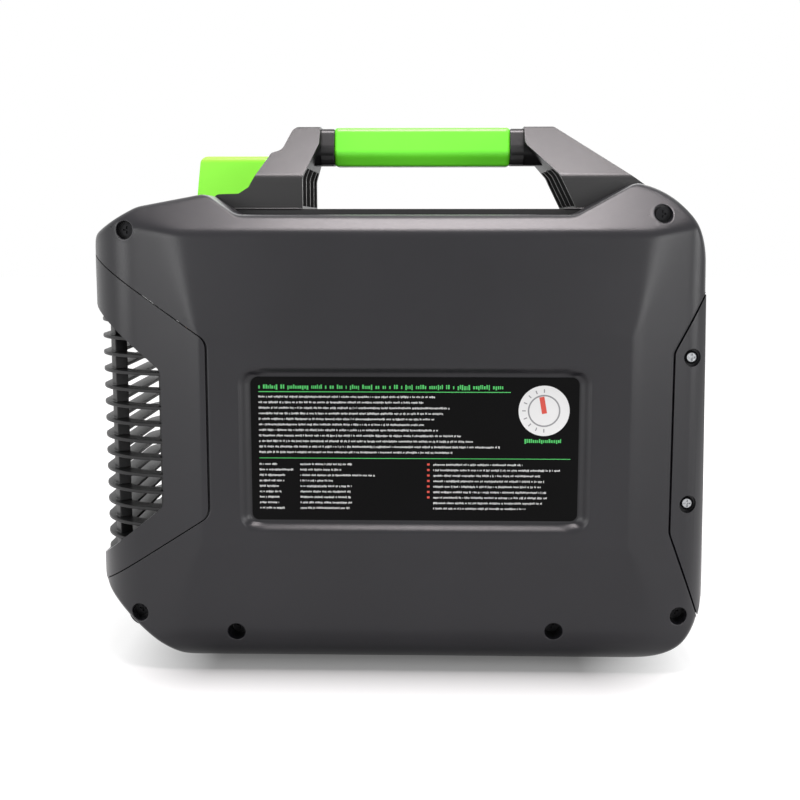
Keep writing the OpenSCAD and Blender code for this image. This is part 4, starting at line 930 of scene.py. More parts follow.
@dataclass
class CaseHalf:
    """One moulded half of the case, as rings about the middle of its recess."""

    form: CaseForm
    side: Side
    middle: tuple[float, float]
    mouth: tuple[float, float, float]
    floor: tuple[float, float, float]
    recess: float
    wells: list[tuple[float, float]] = field(default_factory=list)
    gap: float = 0.5
    vent_x: float = -120.0
    vent_low: float = 105.0
    vent_high: float = 217.5
    vent_rise: float = 0.67
    cover_x: float = 174.0
    cover_low: float = 94.0
    cover_high: float = 210.0
    cover_fall: float = 2.67
    cover_rise: float = 1.82
    zone_corner: float = 10.0
    past_end: float = 20.0
    zone_roll: float = 1.5
    outer_roll: float = 3.2
    mouth_roll: float = 2.0
    wall: float = 3.0
    seam: float = 0.25
    gap_wall: float = 5.0
    lip_reach: float = 4.0
    lip_margin: float = 1.0
    lip_overlap: float = 0.5
    lip_sink: tuple[float, float] = (0.4, 1.6)
    bar_half: float = 5.0
    bar_gap: float = 0.3
    bar_thick: float = 1.2
    bar_short: float = 1.0
    bar_back: int = 8
    strip_gap: float = 0.2
    strip_thick: float = 1.2
    strip_drop: float = 6.0
    valley: tuple[float, float] = (-126.0, 162.0)
    valley_half: float = 57.5
    valley_drop: float = 2.0
    valley_foot: float = 1.0
    well_radius: float = 5.7
    well_seat: float = 88.0
    well_lip: float = 0.7
    well_collar: float = 3.0
    well_margin: float = 0.9
    well_core: float = 1.5
    well_rise: tuple[float, float] = (-0.08, 0.03)
    well_tube: tuple[float, ...] = (0.35, 0.7, 1.0, 1.0)
    well_rows: int = 6
    well_points: int = 64
    angles: int = 900
    fine_angles: int = 40000
    near_rings: int = 6
    span_rings: int = 54
    far_rings: int = 8
    recess_rows: int = 14
    floor_rows: int = 5
    wall_rows: int = 6
    mouth_step: float = 0.5

    def zones(self) -> tuple[np.ndarray, np.ndarray]:
        """The parting lines of the vent frame and of the end cover, as open outlines.

        Returns:
            The two lines, as rows of x and z.
        """
        far, corner, step = self.form.half_length + self.past_end, self.zone_corner, self.form.spacing
        left, right = self.vent_x + self.gap, self.cover_x - self.gap
        vent = rounded([
            (-far, self.vent_high + (left + far) * self.vent_rise, 0), (left, self.vent_high, corner),
            (left, self.vent_low, corner), (-far, self.vent_low - (left + far) * self.vent_rise, 0),
        ], closed=False)
        cover = rounded([
            (far, self.cover_low - (far - right) * self.cover_fall, 0), (right, self.cover_low, corner),
            (right, self.cover_high, corner), (far, self.cover_high + (far - right) * self.cover_rise, 0),
        ], closed=False)
        return resampled(vent, step, closed=False), resampled(cover, step, closed=False)

    def limits(self, angle: np.ndarray) -> tuple[np.ndarray, np.ndarray]:
        """How far the half reaches along each angle, and where a parting line limits it.

        Args:
            angle: the angles about the middle.

        Returns:
            The distances, and a mask of the angles that meet a parting line first.
        """
        outer = polar_reach(self.form.side_outline(), self.middle, angle)
        vent, cover = (polar_reach(line, self.middle, angle, False) for line in self.zones())
        zone = np.minimum(vent, cover)
        return np.minimum(outer, zone), zone < outer

    def even_angles(self) -> np.ndarray:
        """Angles spaced evenly along the rim, with those where a parting line meets the outline added.

        Returns:
            The angles in rising order.
        """
        fine = np.linspace(0.0, TURN, self.fine_angles, endpoint=False)
        reach, zone = self.limits(fine)
        x, z = reach * np.cos(fine), reach * np.sin(fine)
        length = np.cumsum(np.hypot(np.diff(x, append=x[:1]), np.diff(z, append=z[:1])))
        even = np.interp(np.linspace(0.0, length[-1], self.angles, endpoint=False), length, fine)
        turns = np.nonzero(np.diff(zone.astype(int)))[0]
        return np.unique(np.concatenate([even, fine[turns], fine[turns + 1]]))

    def skin_depth(self, x: np.ndarray, z: np.ndarray) -> np.ndarray:
        """Depth of the skin with its round rims.

        Args:
            x: places along the case.
            z: heights.

        Returns:
            Distances from the middle plane.
        """
        dx, dz = x - self.middle[0], z - self.middle[1]
        angle = np.arctan2(dz, dx)
        reach, zone = self.limits(angle.ravel())
        edge = np.clip(reach.reshape(x.shape) - np.hypot(dx, dz), 0.0, None)
        radius = np.where(zone, self.zone_roll, self.outer_roll).reshape(x.shape)
        return self.form.depth(x, z) - edge_roll(edge, radius)

    def rings(self, angle: np.ndarray) -> tuple[np.ndarray, np.ndarray, np.ndarray]:
        """Distances of the rings from the middle, from the mouth of the recess to the rim.

        Args:
            angle: the angles of the spokes.

        Returns:
            The ring distances, the reach of the rim, and where a parting line limits it.
        """
        reach, zone = self.limits(angle)
        start = self._plate_reach(self.mouth, angle)
        roll = np.where(zone, self.zone_roll, self.outer_roll)
        near = start[None, :] + self.mouth_roll * roll_steps(self.near_rings)[:, None]
        far = reach[None, :] - roll[None, :] * roll_steps(self.far_rings)[::-1, None]
        share = np.linspace(0.0, 1.0, self.span_rings)[1:-1, None]
        between = near[-1][None, :] * (1.0 - share) + far[0][None, :] * share
        return np.vstack([near, between, far]), reach, zone

    def _plate_reach(self, plate: tuple[float, float, float], angle: np.ndarray) -> np.ndarray:
        """Distance from the middle to a rounded plate of width, height and corner, along each angle."""
        outline = resampled(rounded_plate(*plate, *self.middle), self.mouth_step)
        return polar_reach(outline, self.middle, angle)

    def build(self, name: str) -> bpy.types.Object:
        """Builds the half: skin, recess, rim walls, lips and screw wells.

        Args:
            name: name of the piece.

        Returns:
            The piece.
        """
        angle = self.even_angles()
        rings, reach, zone = self.rings(angle)
        x = self.middle[0] + rings * np.cos(angle)
        z = self.middle[1] + rings * np.sin(angle)
        depth = self.skin_depth(x, z)
        if self.side is Side.FRONT:
            inner = np.clip(rings - rings[0], 0.0, None)
            depth = depth - edge_roll(inner, self.mouth_roll)
        skin = self._grid(x, depth, z)
        patches = [self._cut_wells(skin, x, z), *self._recess(angle, rings[0], depth[0])]
        patches += self._rim(x[-1], z[-1], depth[-1], zone)
        patches.append(self._lip(angle, reach, zone))
        patches += [self._well(px, pz) for px, pz in self.wells]
        return make_mesh(name, patches, sharp=40.0)

    def _grid(self, x: np.ndarray, depth: np.ndarray, z: np.ndarray) -> Patch:
        """Puts a grid of places and depths on this side of the case."""
        points = np.stack([x, self.side.value * depth, z], axis=-1)
        return Patch.grid(points, around=True, flip=self.side is Side.FRONT)

    def _cut_wells(self, skin: Patch, x: np.ndarray, z: np.ndarray) -> Patch:
        """Opens the skin where a screw well and its collar go.

        Args:
            skin: the patch of the skin.
            x: the places of its points along the case.
            z: their heights.

        Returns:
            The skin without those faces.
        """
        inside = np.zeros(x.shape, bool)
        for px, pz in self.wells:
            inside |= np.hypot(x - px, z - pz) < self.well_radius + self.well_margin
        return skin.without(inside)

    def _recess(self, angle: np.ndarray, start: np.ndarray, top: np.ndarray) -> list[Patch]:
        """The rim and the floor of the recess.

        The rear rim falls along half a cosine wave, and the front one along a straight line.

        Args:
            angle: the angles of the spokes.
            start: the distance of the mouth along each one.
            top: the depth of the skin at the mouth.

        Returns:
            The rim and the floor.
        """
        end = self._plate_reach(self.floor, angle)
        share = np.linspace(0.0, 1.0, self.recess_rows)[:, None]
        fall = 0.5 - 0.5 * np.cos(math.pi * share) if self.side is Side.REAR else share
        bed = self.form.half_depth - self.recess
        reach = start * (1.0 - share) + end * share
        depth = top * (1.0 - fall) + bed * fall
        inner = np.linspace(1.0, 0.0, self.floor_rows)[:, None] * end
        cos, sin = np.cos(angle), np.sin(angle)
        patches = []
        for away, deep in ((reach, depth), (inner, np.full(inner.shape, bed))):
            patch = self._grid(self.middle[0] + away * cos, deep, self.middle[1] + away * sin)
            patches.append(Patch(patch.points, patch.faces[:, ::-1]))
        return patches

    def _rim(self, x: np.ndarray, z: np.ndarray, depth: np.ndarray, zone: np.ndarray) -> list[Patch]:
        """The walls from the rim to the middle plane, to the valley of the handle or into a parting gap.

        Args:
            x: the places of the rim's points along the case.
            z: their heights.
            depth: their depths.
            zone: where a parting line limits the rim.

        Returns:
            The walls, the inner face of the valley and its two ends.
        """
        low, count, rows = self.form.shoulder - self.valley_foot, len(x), self.wall_rows
        along = (x > self.valley[0]) & (x < self.valley[1])
        valley = (z > self.form.shoulder - self.valley_drop) & along & ~zone
        end = np.where(zone, depth - self.gap_wall, np.where(valley, self.valley_half, self.seam))
        share = np.linspace(0.0, 1.0, rows)[:, None]
        wall = self._grid(np.tile(x, (rows, 1)), depth * (1.0 - share) + end * share, np.tile(z, (rows, 1)))
        kind = np.where(zone, 1, np.where(valley, 2, 0))[wall.faces % count]
        patches = [Patch(wall.points, wall.faces[(kind == kind[:, :1]).all(axis=1)])]
        drop = np.stack([z, np.full_like(z, low)])
        inner = self._grid(np.tile(x, (2, 1)), np.full((2, count), self.valley_half), drop)
        patches.append(Patch(inner.points, inner.faces[valley[inner.faces % count].all(axis=1)]))
        for end_x in self.valley:
            high = float(z[np.argmin(np.where(z < low, np.inf, np.abs(x - end_x)))])
            deep = self.side.value * np.array([self.valley_half, self.seam, self.seam, self.valley_half])
            points = np.stack([np.full(4, end_x), deep, np.array([low, low, high, high])], axis=1)
            patches.append(Patch(points, np.array([[0, 1, 2, 3]])))
        return patches

    def _lip(self, angle: np.ndarray, reach: np.ndarray, zone: np.ndarray) -> Patch:
        """The lip behind each parting gap: it leaves the rim below the skin and runs on under the next piece.

        Args:
            angle: the angles of the spokes.
            reach: the distance of the rim along each one.
            zone: where a parting line limits the rim.

        Returns:
            The lip, as two faces and the edge between them.
        """
        outer = polar_reach(self.form.side_outline(), self.middle, angle)
        far = np.minimum(reach + self.lip_reach, outer - self.lip_margin)
        edge = np.maximum(far, reach - self.lip_overlap)
        span = np.stack([reach, edge, edge, reach])
        x = self.middle[0] + span * np.cos(angle)
        z = self.middle[1] + span * np.sin(angle)
        sink = self.wall + np.repeat(self.lip_sink, 2)[:, None]
        lip = self._grid(x, self.form.depth(x, z) - sink, z)
        return Patch(lip.points, lip.faces[zone[lip.faces % len(angle)].all(axis=1)])

    def end_lips(self, name: str) -> bpy.types.Object:
        """Thin bars behind the parting gaps of the two end faces, from the skin to the middle plane.

        Args:
            name: name of the piece.

        Returns:
            The piece.
        """
        angle = self.even_angles()
        reach, zone = self.limits(angle)
        rim = np.stack([reach * np.cos(angle), reach * np.sin(angle)], axis=1) + np.array(self.middle)
        depth = self.form.depth(rim[:, 0], rim[:, 1])
        count, back = len(angle), self.bar_back
        patches: list[Patch] = []
        for i in np.nonzero(zone != np.roll(zone, -1))[0]:
            spot, before = ((i + 1) % count, (i + 1 + back) % count) if zone[i] else (i, i - back)
            along = (rim[spot] - rim[before]) / np.linalg.norm(rim[spot] - rim[before])
            inward = np.array([-along[1], along[0]])
            inward *= np.sign(inward @ (np.array(self.middle) - rim[spot]))
            near = rim[spot] + inward * (self.wall + self.bar_gap)
            far = near + inward * self.bar_thick
            reach_on = along * self.bar_half
            bar = np.array([near - reach_on, near + reach_on, far + reach_on, far - reach_on])
            deep = depth[spot] - self.wall - self.bar_short
            patches += prism(bar, self.side.value * self.seam, self.side.value * deep)
        return make_mesh(name, patches, turn_out=True)

    def seam_strip(self, name: str) -> bpy.types.Object:
        """A strip behind the seam of the halves: the rim drawn in by a wall, from one side to the other.

        Args:
            name: name of the piece.

        Returns:
            The piece, with its thickness as a modifier.
        """
        angle = self.even_angles()
        reach, zone = self.limits(angle)
        inner = np.tile(reach - self.wall - self.strip_gap, (2, 1))
        x = self.middle[0] + inner * np.cos(angle)
        z = self.middle[1] + inner * np.sin(angle)
        depth = np.repeat([[-self.wall], [self.wall]], len(angle), axis=1)
        strip = self._grid(x, depth, z)
        along = (x[0] > self.valley[0]) & (x[0] < self.valley[1])
        valley = (z[0] > self.form.shoulder - self.strip_drop) & along
        piece = make_mesh(name, [strip.without(np.tile(zone | valley, (2, 1)))])
        thick = piece.modifiers.new("thick", "SOLIDIFY")
        thick.thickness = self.strip_thick * MM
        return piece

    def _well(self, px: float, pz: float) -> Patch:
        """A deep screw well: a collar on the skin, a round lip, and a tube down to the seat of the screw.

        Args:
            px: its place along the case.
            pz: its height.

        Returns:
            The well.
        """
        turn = np.linspace(0.0, TURN, self.well_points, endpoint=False)
        lip, rows, bore, top = self.well_lip, self.well_rows, self.well_radius, self.well_rise[1]
        tube = np.array(self.well_tube)
        bend = np.linspace(0.0, math.pi / 2.0, rows)[1:]
        collar = bore + lip + np.linspace(self.well_collar, 0.0, rows)
        inside = [bore] * (len(tube) - 1) + [self.well_core]
        radius = np.concatenate([collar, bore + lip * (1.0 - np.sin(bend)), inside])
        x = px + radius[:, None] * np.cos(turn)
        z = pz + radius[:, None] * np.sin(turn)
        slope = np.linspace(*self.well_rise, rows)
        rise = np.concatenate([slope, top - lip * (1.0 - np.cos(bend)), np.zeros(len(tube))])
        depth = self.skin_depth(x, z) + rise[:, None]
        mouth = depth[-len(tube) - 1]
        depth[-len(tube):] = mouth * (1.0 - tube[:, None]) + self.well_seat * tube[:, None]
        return self._grid(x, depth, z)


@dataclass
class SoftCopy:
    """A hard piece whose CAD solid is right: its triangles are welded and its edges rounded."""

    node: str
    name: str
    body: Body
    finish: Finish
    edge: float
    segments: int = 2
    angle: float = 30.0
    flat_angle: float = 0.3

    def build(self, nodes: dict[str, bpy.types.Object]) -> bpy.types.Object:
        """Builds the piece from the node's solid.

        Args:
            nodes: the CAD nodes by name.

        Returns:
            The piece, with its rounding as modifiers.
        """
        source = nodes[self.node].data
        points = np.empty(len(source.vertices) * 3, np.float32)
        source.vertices.foreach_get("co", points)
        corners = np.empty(len(source.loops), np.int32)
        source.loops.foreach_get("vertex_index", corners)
        shape = self.shaped(points.reshape(-1, 3) / MM)
        piece = make_mesh(self.name, [Patch(shape, corners.reshape(-1, 3))], self.angle)
        work = bmesh.new()
        work.from_mesh(piece.data)
        flat = math.radians(self.flat_angle)
        bmesh.ops.dissolve_limit(work, angle_limit=flat, verts=work.verts, edges=work.edges)
        work.to_mesh(piece.data)
        work.free()
        bevel = piece.modifiers.new("round_edges", "BEVEL")
        bevel.width = self.edge * MM
        bevel.segments = self.segments
        bevel.limit_method = "ANGLE"
        bevel.angle_limit = math.radians(self.angle)
        normal = piece.modifiers.new("even_shade", "WEIGHTED_NORMAL")
        normal.keep_sharp = True
        return place(piece, self.body, self.finish, (self.node,))

    def shaped(self, points: np.ndarray) -> np.ndarray:
        """The points of the copy, which a special piece may draw in."""
        return points


@dataclass
class VentSurround(SoftCopy):
    """The vent frame, with the corners of its ledges drawn in to the plan of the case."""

    form: CaseForm | None = None

    def shaped(self, points: np.ndarray) -> np.ndarray:
        """Keeps each point inside the plan, at its own place along the case."""
        limit = self.form.plan_half(points[:, 0])
        return np.column_stack([points[:, 0], np.clip(points[:, 1], -limit, limit), points[:, 2]])


@dataclass
class HandleLegs(SoftCopy):
    """The handle bracket, with painted shade: darker matt inner faces where the legs look at each other
    across the hand gap.
    """

    inner: Finish = HAND_GAP_SHADE
    hand_gap: tuple[float, float] = (-80.0, 125.0)
    middle: float = 14.6
    facing: float = 0.5

    def build(self, nodes: dict[str, bpy.types.Object]) -> bpy.types.Object:
        """Builds the bracket and gives painted shade to the faces of the hand gap: those whose normal points
        at its middle.

        Args:
            nodes: the CAD nodes by name.

        Returns:
            The piece with two materials.
        """
        piece = super().build(nodes)
        faces = piece.data.polygons
        normal = np.empty(len(faces) * 3, np.float32)
        centre = np.empty(len(faces) * 3, np.float32)
        faces.foreach_get("normal", normal)
        faces.foreach_get("center", centre)
        normal, centre = normal.reshape(-1, 3), centre.reshape(-1, 3) / MM
        across = (centre[:, 0] > self.hand_gap[0]) & (centre[:, 0] < self.hand_gap[1])
        inward = normal[:, 0] * np.sign(self.middle - centre[:, 0]) > self.facing
        # painted shade: a darker copy of the case plastic on the faces that look into the hand gap
        piece.data.materials.append(self.inner.material())
        faces.foreach_set("material_index", (across & inward).astype(np.int32))
        return piece


@dataclass
class Collar:
    """The dark block between a leg and the grip: the grip's outline, a little smaller, carried along X."""

    name: str
    low: np.ndarray
    high: np.ndarray
    start: float
    end: float
    step_in: float = 0.7
    chamfer: float = 0.5
    end_share: float = 0.96

    def build(self) -> bpy.types.Object:
        """Builds the block, with both ends closed.

        Returns:
            The piece.
        """
        half = (self.high - self.low)[1:] / 2.0 - self.step_in
        middle = (self.high + self.low)[1:] / 2.0
        outline = resampled(Grip.outline(half[0], half[1]), GRIP_STEP) + middle
        first, last, cut = self.start, self.end, self.chamfer
        x = np.array([first, first, first + cut, last - cut, last, last])
        shrink = np.array([0.0, self.end_share, 1.0, 1.0, self.end_share, 0.0])
        piece = make_mesh(self.name, [carried(outline, x, shrink)], turn_out=True)
        return place(piece, Body.CASE, COLLAR_BLACK)


@dataclass
class LegTrim:
    """Small trim of the handle's feet: a bead on the deck's edges and a fillet behind the left leg."""

    deck_half: float
    deck_top: float
    bead: float = 0.75
    bead_points: int = 16
    taper: tuple[float, float, float] = (0.0, 1.0, 3.0)
    taper_share: tuple[float, float, float] = (0.0, 0.7, 1.0)
    runs: tuple[tuple[float, float], ...] = ((-122.0, -63.0), (107.0, 150.0))
    fillet: tuple[tuple[float, float], ...] = ((-106.5, 309.4), (-98.6, 314.4), (-101.4, 309.0))
    fillet_half: float = 53.6

    def build(self) -> bpy.types.Object:
        """Builds the trim: a small circle carried along each run, drawn to a point at its ends, and a prism.

        Returns:
            The piece.
        """
        turn = np.linspace(0.0, TURN, self.bead_points, endpoint=False)
        circle = self.bead * np.stack([np.cos(turn), np.sin(turn)], axis=1)
        patches = prism(np.array(self.fillet), -self.fillet_half, self.fillet_half)
        taper, share = np.array(self.taper), np.array(self.taper_share)
        for start, end in self.runs:
            x = np.concatenate([start + taper, end - taper[::-1]])
            shrink = np.concatenate([share, share[::-1]])
            for half in (-self.deck_half, self.deck_half):
                patches.append(carried(circle + np.array([half, self.deck_top]), x, shrink))
        return place(make_mesh("leg_trim", patches, turn_out=True), Body.CASE, BRACKET_GREY)


@dataclass
class Grip:
    """The green sleeve of the handle: a rounded outline carried along X, with round ends."""

    SLANT: ClassVar[float] = 6.0
    WAIST: ClassVar[float] = 8.0
    ROUNDS: ClassVar[tuple[float, float, float]] = (4.0, 6.0, 5.0)

    low: np.ndarray
    high: np.ndarray
    end_roll: float = 2.4
    end_rings: int = 7
    end_margin: float = 4.0
    stations: int = 12
    bore_share: float = 0.68

    @classmethod
    def outline(cls, w: float, h: float) -> np.ndarray:
        """Six-sided outline with round edges, widest at its waist.

        Args:
            w: half the width.
            h: half the height.

        Returns:
            Rows of y and z.
        """
        foot, waist, top = cls.ROUNDS
        flat, wide = w - cls.SLANT, -h + cls.WAIST
        return rounded([
            (-flat, -h, foot), (flat, -h, foot), (w, wide, waist),
            (flat, h, top), (-flat, h, top), (-w, wide, waist),
        ])

    def build(self) -> bpy.types.Object:
        """Builds the sleeve.

        Returns:
            The piece.
        """
        half = (self.high - self.low) / 2.0
        middle = (self.high + self.low) / 2.0
        length, margin = 2 * half[0], self.end_margin
        outline = resampled(self.outline(half[1], half[2]), GRIP_STEP) + middle[1:]
        ends = self.end_roll * roll_steps(self.end_rings)
        along = np.linspace(margin, length - margin, self.stations)
        x = np.concatenate([[0.0], ends, along, length - ends[::-1], [length]])
        sink = edge_roll(np.minimum(x, length - x), self.end_roll) / half[2]
        shrink = np.concatenate([[self.bore_share], 1.0 - sink[1:-1], [self.bore_share]])
        piece = make_mesh("grip_sleeve", [carried(outline, self.low[0] + x, shrink)], turn_out=True)
        return place(piece, Body.CASE, LIME, ("handle_grip",))


@dataclass
class LabelPrint:
    """Plain print on the rear label: rows of bars, rules and a dial, with no words."""

    low: np.ndarray
    high: np.ndarray
    lift: float = 0.05
    margin: float = 5.0
    row_pitch: float = 3.55
    row_height: float = 1.15
    rows_above: int = 11
    first_row: float = 8.0
    second_row: float = 4.2
    heading_drop: float = 2.4
    heading_height: float = 2.6
    heading_rule: tuple[float, float] = (4.6, 4.1)
    rule: float = 0.4
    column_gap: float = 6.0
    heading_gap: float = 4.0
    row_ends: tuple[float, float] = (2.0, 60.0)
    key_ends: tuple[float, float] = (11.0, 22.0)
    value_start: float = 26.0
    value_ends: tuple[float, float] = (45.0, 78.0)
    note_share: float = 0.47
    note_start: float = 18.0
    note_ends: tuple[float, float] = (2.0, 30.0)
    bullet: tuple[float, float, float] = (14.0, 15.6, 1.3)
    dial_radius: float = 16.0
    dial_inset: float = 1.0
    dial_words: tuple[float, float, float] = (12.0, 4.4, 2.4)
    dial_lifts: tuple[float, float, float] = (0.06, 0.1, 0.12)
    dial_ring: tuple[float, float] = (0.58, 0.64)
    tick_reach: tuple[float, float] = (0.72, 0.86)
    tick_half: float = 0.35
    tick_turns: tuple[float, float, int] = (90.0, 270.0, 9)
    hand_lean: float = 100.0
    hand_half: float = 1.6
    hand_reach: tuple[float, float] = (-0.112, 0.56)
    strokes: int = 420
    stroke_width: tuple[float, float] = (0.22, 0.42)
    stroke_space: tuple[float, float] = (0.14, 0.24)
    word_share: float = 0.16
    word_space: float = 0.6
    stroke_tops: tuple[float, ...] = (0.72, 0.76, 1.0)
    stroke_feet: tuple[float, ...] = (0.0, 0.0, 0.0, 0.24)
    seed: int = 7

    def bars(self, boxes: np.ndarray) -> Patch:
        """Thin raised boxes on the label.

        Args:
            boxes: a row of x0, x1, z0 and z1 for each one.

        Returns:
            All of them.
        """
        face = self.low[1]
        x = boxes[:, [0, 1, 1, 0, 0, 1, 1, 0]]
        z = boxes[:, [2, 2, 3, 3, 2, 2, 3, 3]]
        y = np.broadcast_to(np.repeat([face - self.lift, face + PRINT_SINK], 4), x.shape)
        points = np.stack([x, y, z], axis=-1).reshape(-1, 3)
        ends = [[0, 1, 2, 3], [7, 6, 5, 4]]
        cube = np.array(ends + [[0, 4, 5, 1], [1, 5, 6, 2], [2, 6, 7, 3], [3, 7, 4, 0]])
        start = np.arange(len(boxes))[:, None, None] * 8
        return Patch(points, (cube[None] + start).reshape(-1, 4))

    def words(self, draw: np.random.Generator, x0: float, x1: float, z: float, height: float) -> np.ndarray:
        """A row of short strokes in groups, as a line of print looks from afar and without a letter in it.

        Args:
            draw: the source of chance.
            x0: where the row starts.
            x1: where it ends at the latest.
            z: its foot.
            height: the height of a stroke.

        Returns:
            A row of x0, x1, z0 and z1 for each stroke.
        """
        count = self.strokes
        width = height * draw.uniform(*self.stroke_width, count)
        space = height * draw.uniform(*self.stroke_space, count)
        space[draw.random(count) < self.word_share] += height * self.word_space
        starts = x0 + np.concatenate([[0.0], np.cumsum(width + space)[:-1]])
        top = z + height * draw.choice(self.stroke_tops, count)
        foot = z - height * draw.choice(self.stroke_feet, count)
        rows = np.stack([starts, starts + width, foot, top], axis=1)
        return rows[starts + width < x1]

    def disc(self, x: float, z: float, inner: float, outer: float, lift: float) -> Patch:
        """A flat ring about a place on the label."""
        profile = np.array([[inner, PRINT_SINK], [inner, -lift], [outer, -lift], [outer, PRINT_SINK]])
        return lathe(profile, (x, self.low[1], z))

    def build(self) -> list[bpy.types.Object]:
        """Builds the print.

        Returns:
            One piece for each ink, and those of the dial.
        """
        draw = np.random.default_rng(self.seed)
        left, right = self.low[0] + self.margin, self.high[0] - self.margin
        top, foot = self.high[2] - self.margin, self.low[2] + self.margin
        column = right - 2.0 * self.dial_radius - self.column_gap
        pitch, height = self.row_pitch, self.row_height
        heading_end, heading_z = column - self.heading_gap, top - self.heading_drop
        green = [self.words(draw, left, heading_end, heading_z, self.heading_height)]
        green.append(np.array([[left, column, top - self.heading_rule[0], top - self.heading_rule[1]]]))
        white = []
        for i in range(self.rows_above):
            end = column - draw.uniform(*self.row_ends)
            white.append(self.words(draw, left, end, top - self.first_row - i * pitch, height))
        split = top - self.first_row - self.rows_above * pitch
        green.append(np.array([[left, right, split, split + self.rule]]))
        rows = int((split - self.heading_gap - foot) / pitch) + 1
        middle = left + self.note_share * (right - left)
        feet = [split - self.second_row - i * pitch for i in range(rows)]
        for z in feet:
            white.append(self.words(draw, left, left + draw.uniform(*self.key_ends), z, height))
            value_end = left + draw.uniform(*self.value_ends)
            white.append(self.words(draw, left + self.value_start, value_end, z, height))
            note_end = right - draw.uniform(*self.note_ends)
            white.append(self.words(draw, middle + self.note_start, note_end, z, height))
        first, last, rise = self.bullet
        red = [np.array([[middle + first, middle + last, z, z + rise]]) for z in feet[:-2]]
        dial_x, dial_z = right - self.dial_radius - self.dial_inset, top - self.dial_radius
        half, drop, size = self.dial_words
        green.append(self.words(draw, dial_x - half, dial_x + half, dial_z - self.dial_radius - drop, size))
        pieces = []
        for name, finish, boxes in (
            ("label_green", INK_GREEN, green),
            ("label_white", INK_WHITE, white),
            ("label_red", INK_RED, red),
        ):
            pieces.append(place(make_mesh(name, [self.bars(np.vstack(boxes))]), Body.CASE, finish))
        return pieces + self._dial(dial_x, dial_z)

    def _dial(self, x: float, z: float) -> list[bpy.types.Object]:
        """A white dial with a grey ring, ticks and a red pointer.

        Args:
            x: its middle along the case.
            z: its middle's height.

        Returns:
            The four pieces.
        """
        size, lifts = self.dial_radius, self.dial_lifts
        inner, outer = self.dial_ring
        face = make_mesh("label_dial_face", [self.disc(x, z, 0.0, size, lifts[0])])
        ring = make_mesh("label_dial_ring", [self.disc(x, z, size * inner, size * outer, lifts[1])])
        turns = np.linspace(*self.tick_turns)
        ticks = [self._stroke(x, z, turn, self.tick_reach, self.tick_half, lifts[1]) for turn in turns]
        marks = make_mesh("label_dial_ticks", ticks)
        pointer = self._stroke(x, z, self.hand_lean, self.hand_reach, self.hand_half, lifts[2])
        hand = make_mesh("label_dial_hand", [pointer])
        return [
            place(face, Body.CASE, INK_WHITE), place(ring, Body.CASE, INK_GREY),
            place(marks, Body.CASE, INK_GREY), place(hand, Body.CASE, INK_RED),
        ]

    def _stroke(
        self, x: float, z: float, turn: float, reach: tuple[float, float], half: float, lift: float
    ) -> Patch:
        """A straight stroke on the dial, along one of its radii.

        Args:
            x: the dial's middle along the case.
            z: the dial's middle height.
            turn: the angle of the radius, in degrees.
            reach: where the stroke starts and ends, as shares of the dial's radius.
            half: half its width.
            lift: how far it stands off the label.

        Returns:
            The stroke, as one face.
        """
        angle = math.radians(turn)
        along = np.array([math.cos(angle), math.sin(angle)]) * self.dial_radius
        beside = np.array([-math.sin(angle), math.cos(angle)]) * half
        start, end = reach[0] * along, reach[1] * along
        flat = np.array([x, z]) + np.array([start - beside, start + beside, end + beside, end - beside])
        points = np.stack([flat[:, 0], np.full(4, self.low[1] - lift), flat[:, 1]], axis=1)
        return Patch(points, np.array([[0, 1, 2, 3]]))


@dataclass
class PanelPrint:
    """Plain marks on the control panel: a dial scale, rings round the buttons and arrows beside the ports."""

    face: float
    knob: np.ndarray
    buttons: list[np.ndarray]
    ports: list[np.ndarray]
    lift: float = 0.06
    stroke: float = 1.0
    scale: tuple[float, float] = (29.5, 33.5)
    scale_turns: tuple[float, float, int] = (-90.0, 90.0, 11)
    long_every: int = 5
    long_more: float = 2.0
    button_ring: tuple[float, float] = (12.0, 13.0)
    port_ring: tuple[float, float] = (13.2, 14.0)
    ring_points: int = 72
    arrow: float = 4.0
    arrow_gap: float = 2.0

    def ring(self, middle: np.ndarray, inner: float, outer: float) -> Patch:
        """A flat ring: a small rectangle turned about the Y axis through a middle.

        Args:
            middle: its x and z.
            inner: the inner radius.
            outer: the outer radius.

        Returns:
            The ring.
        """
        low, high = -PRINT_SINK, self.lift
        profile = np.array([[inner, low], [inner, high], [outer, high], [outer, low], [inner, low]])
        return lathe(profile, (middle[0], self.face, middle[1]), self.ring_points)

    def plate(self, outline: np.ndarray) -> list[Patch]:
        """A thin raised plate on the panel."""
        return prism(outline, self.face - PRINT_SINK, self.face + self.lift)

    def build(self) -> bpy.types.Object:
        """Builds all marks as one piece.

        Returns:
            The piece.
        """
        patches = [self.ring(middle, *self.button_ring) for middle in self.buttons]
        patches += [self.ring(middle, *self.port_ring) for middle in self.ports]
        for i, angle in enumerate(np.radians(np.linspace(*self.scale_turns))):
            along = np.array([math.cos(angle), math.sin(angle)])
            beside = np.array([-along[1], along[0]]) * self.stroke / 2.0
            more = self.long_more if i % self.long_every == 0 else 0.0
            start = self.knob + along * self.scale[0]
            end = self.knob + along * (self.scale[1] + more)
            patches += self.plate(np.array([start - beside, end - beside, end + beside, start + beside]))
        for middle, way in zip(self.ports, (1.0, -1.0)):
            top = middle + np.array([0.0, self.port_ring[1] + self.arrow_gap + self.arrow])
            tip = way * self.arrow / 2
            patches += self.plate(top + np.array([[-self.arrow, tip], [self.arrow, tip], [0.0, -tip]]))
        return place(make_mesh("panel_marks", patches, turn_out=True), Body.CASE, INK_WHITE)


def looking(spot: Vector, aim: Vector) -> tuple[float, float, float]:
    """The turn that makes a lamp or a camera at a spot look at a point."""
    return tuple((aim - spot).to_track_quat("-Z", "Y").to_euler())


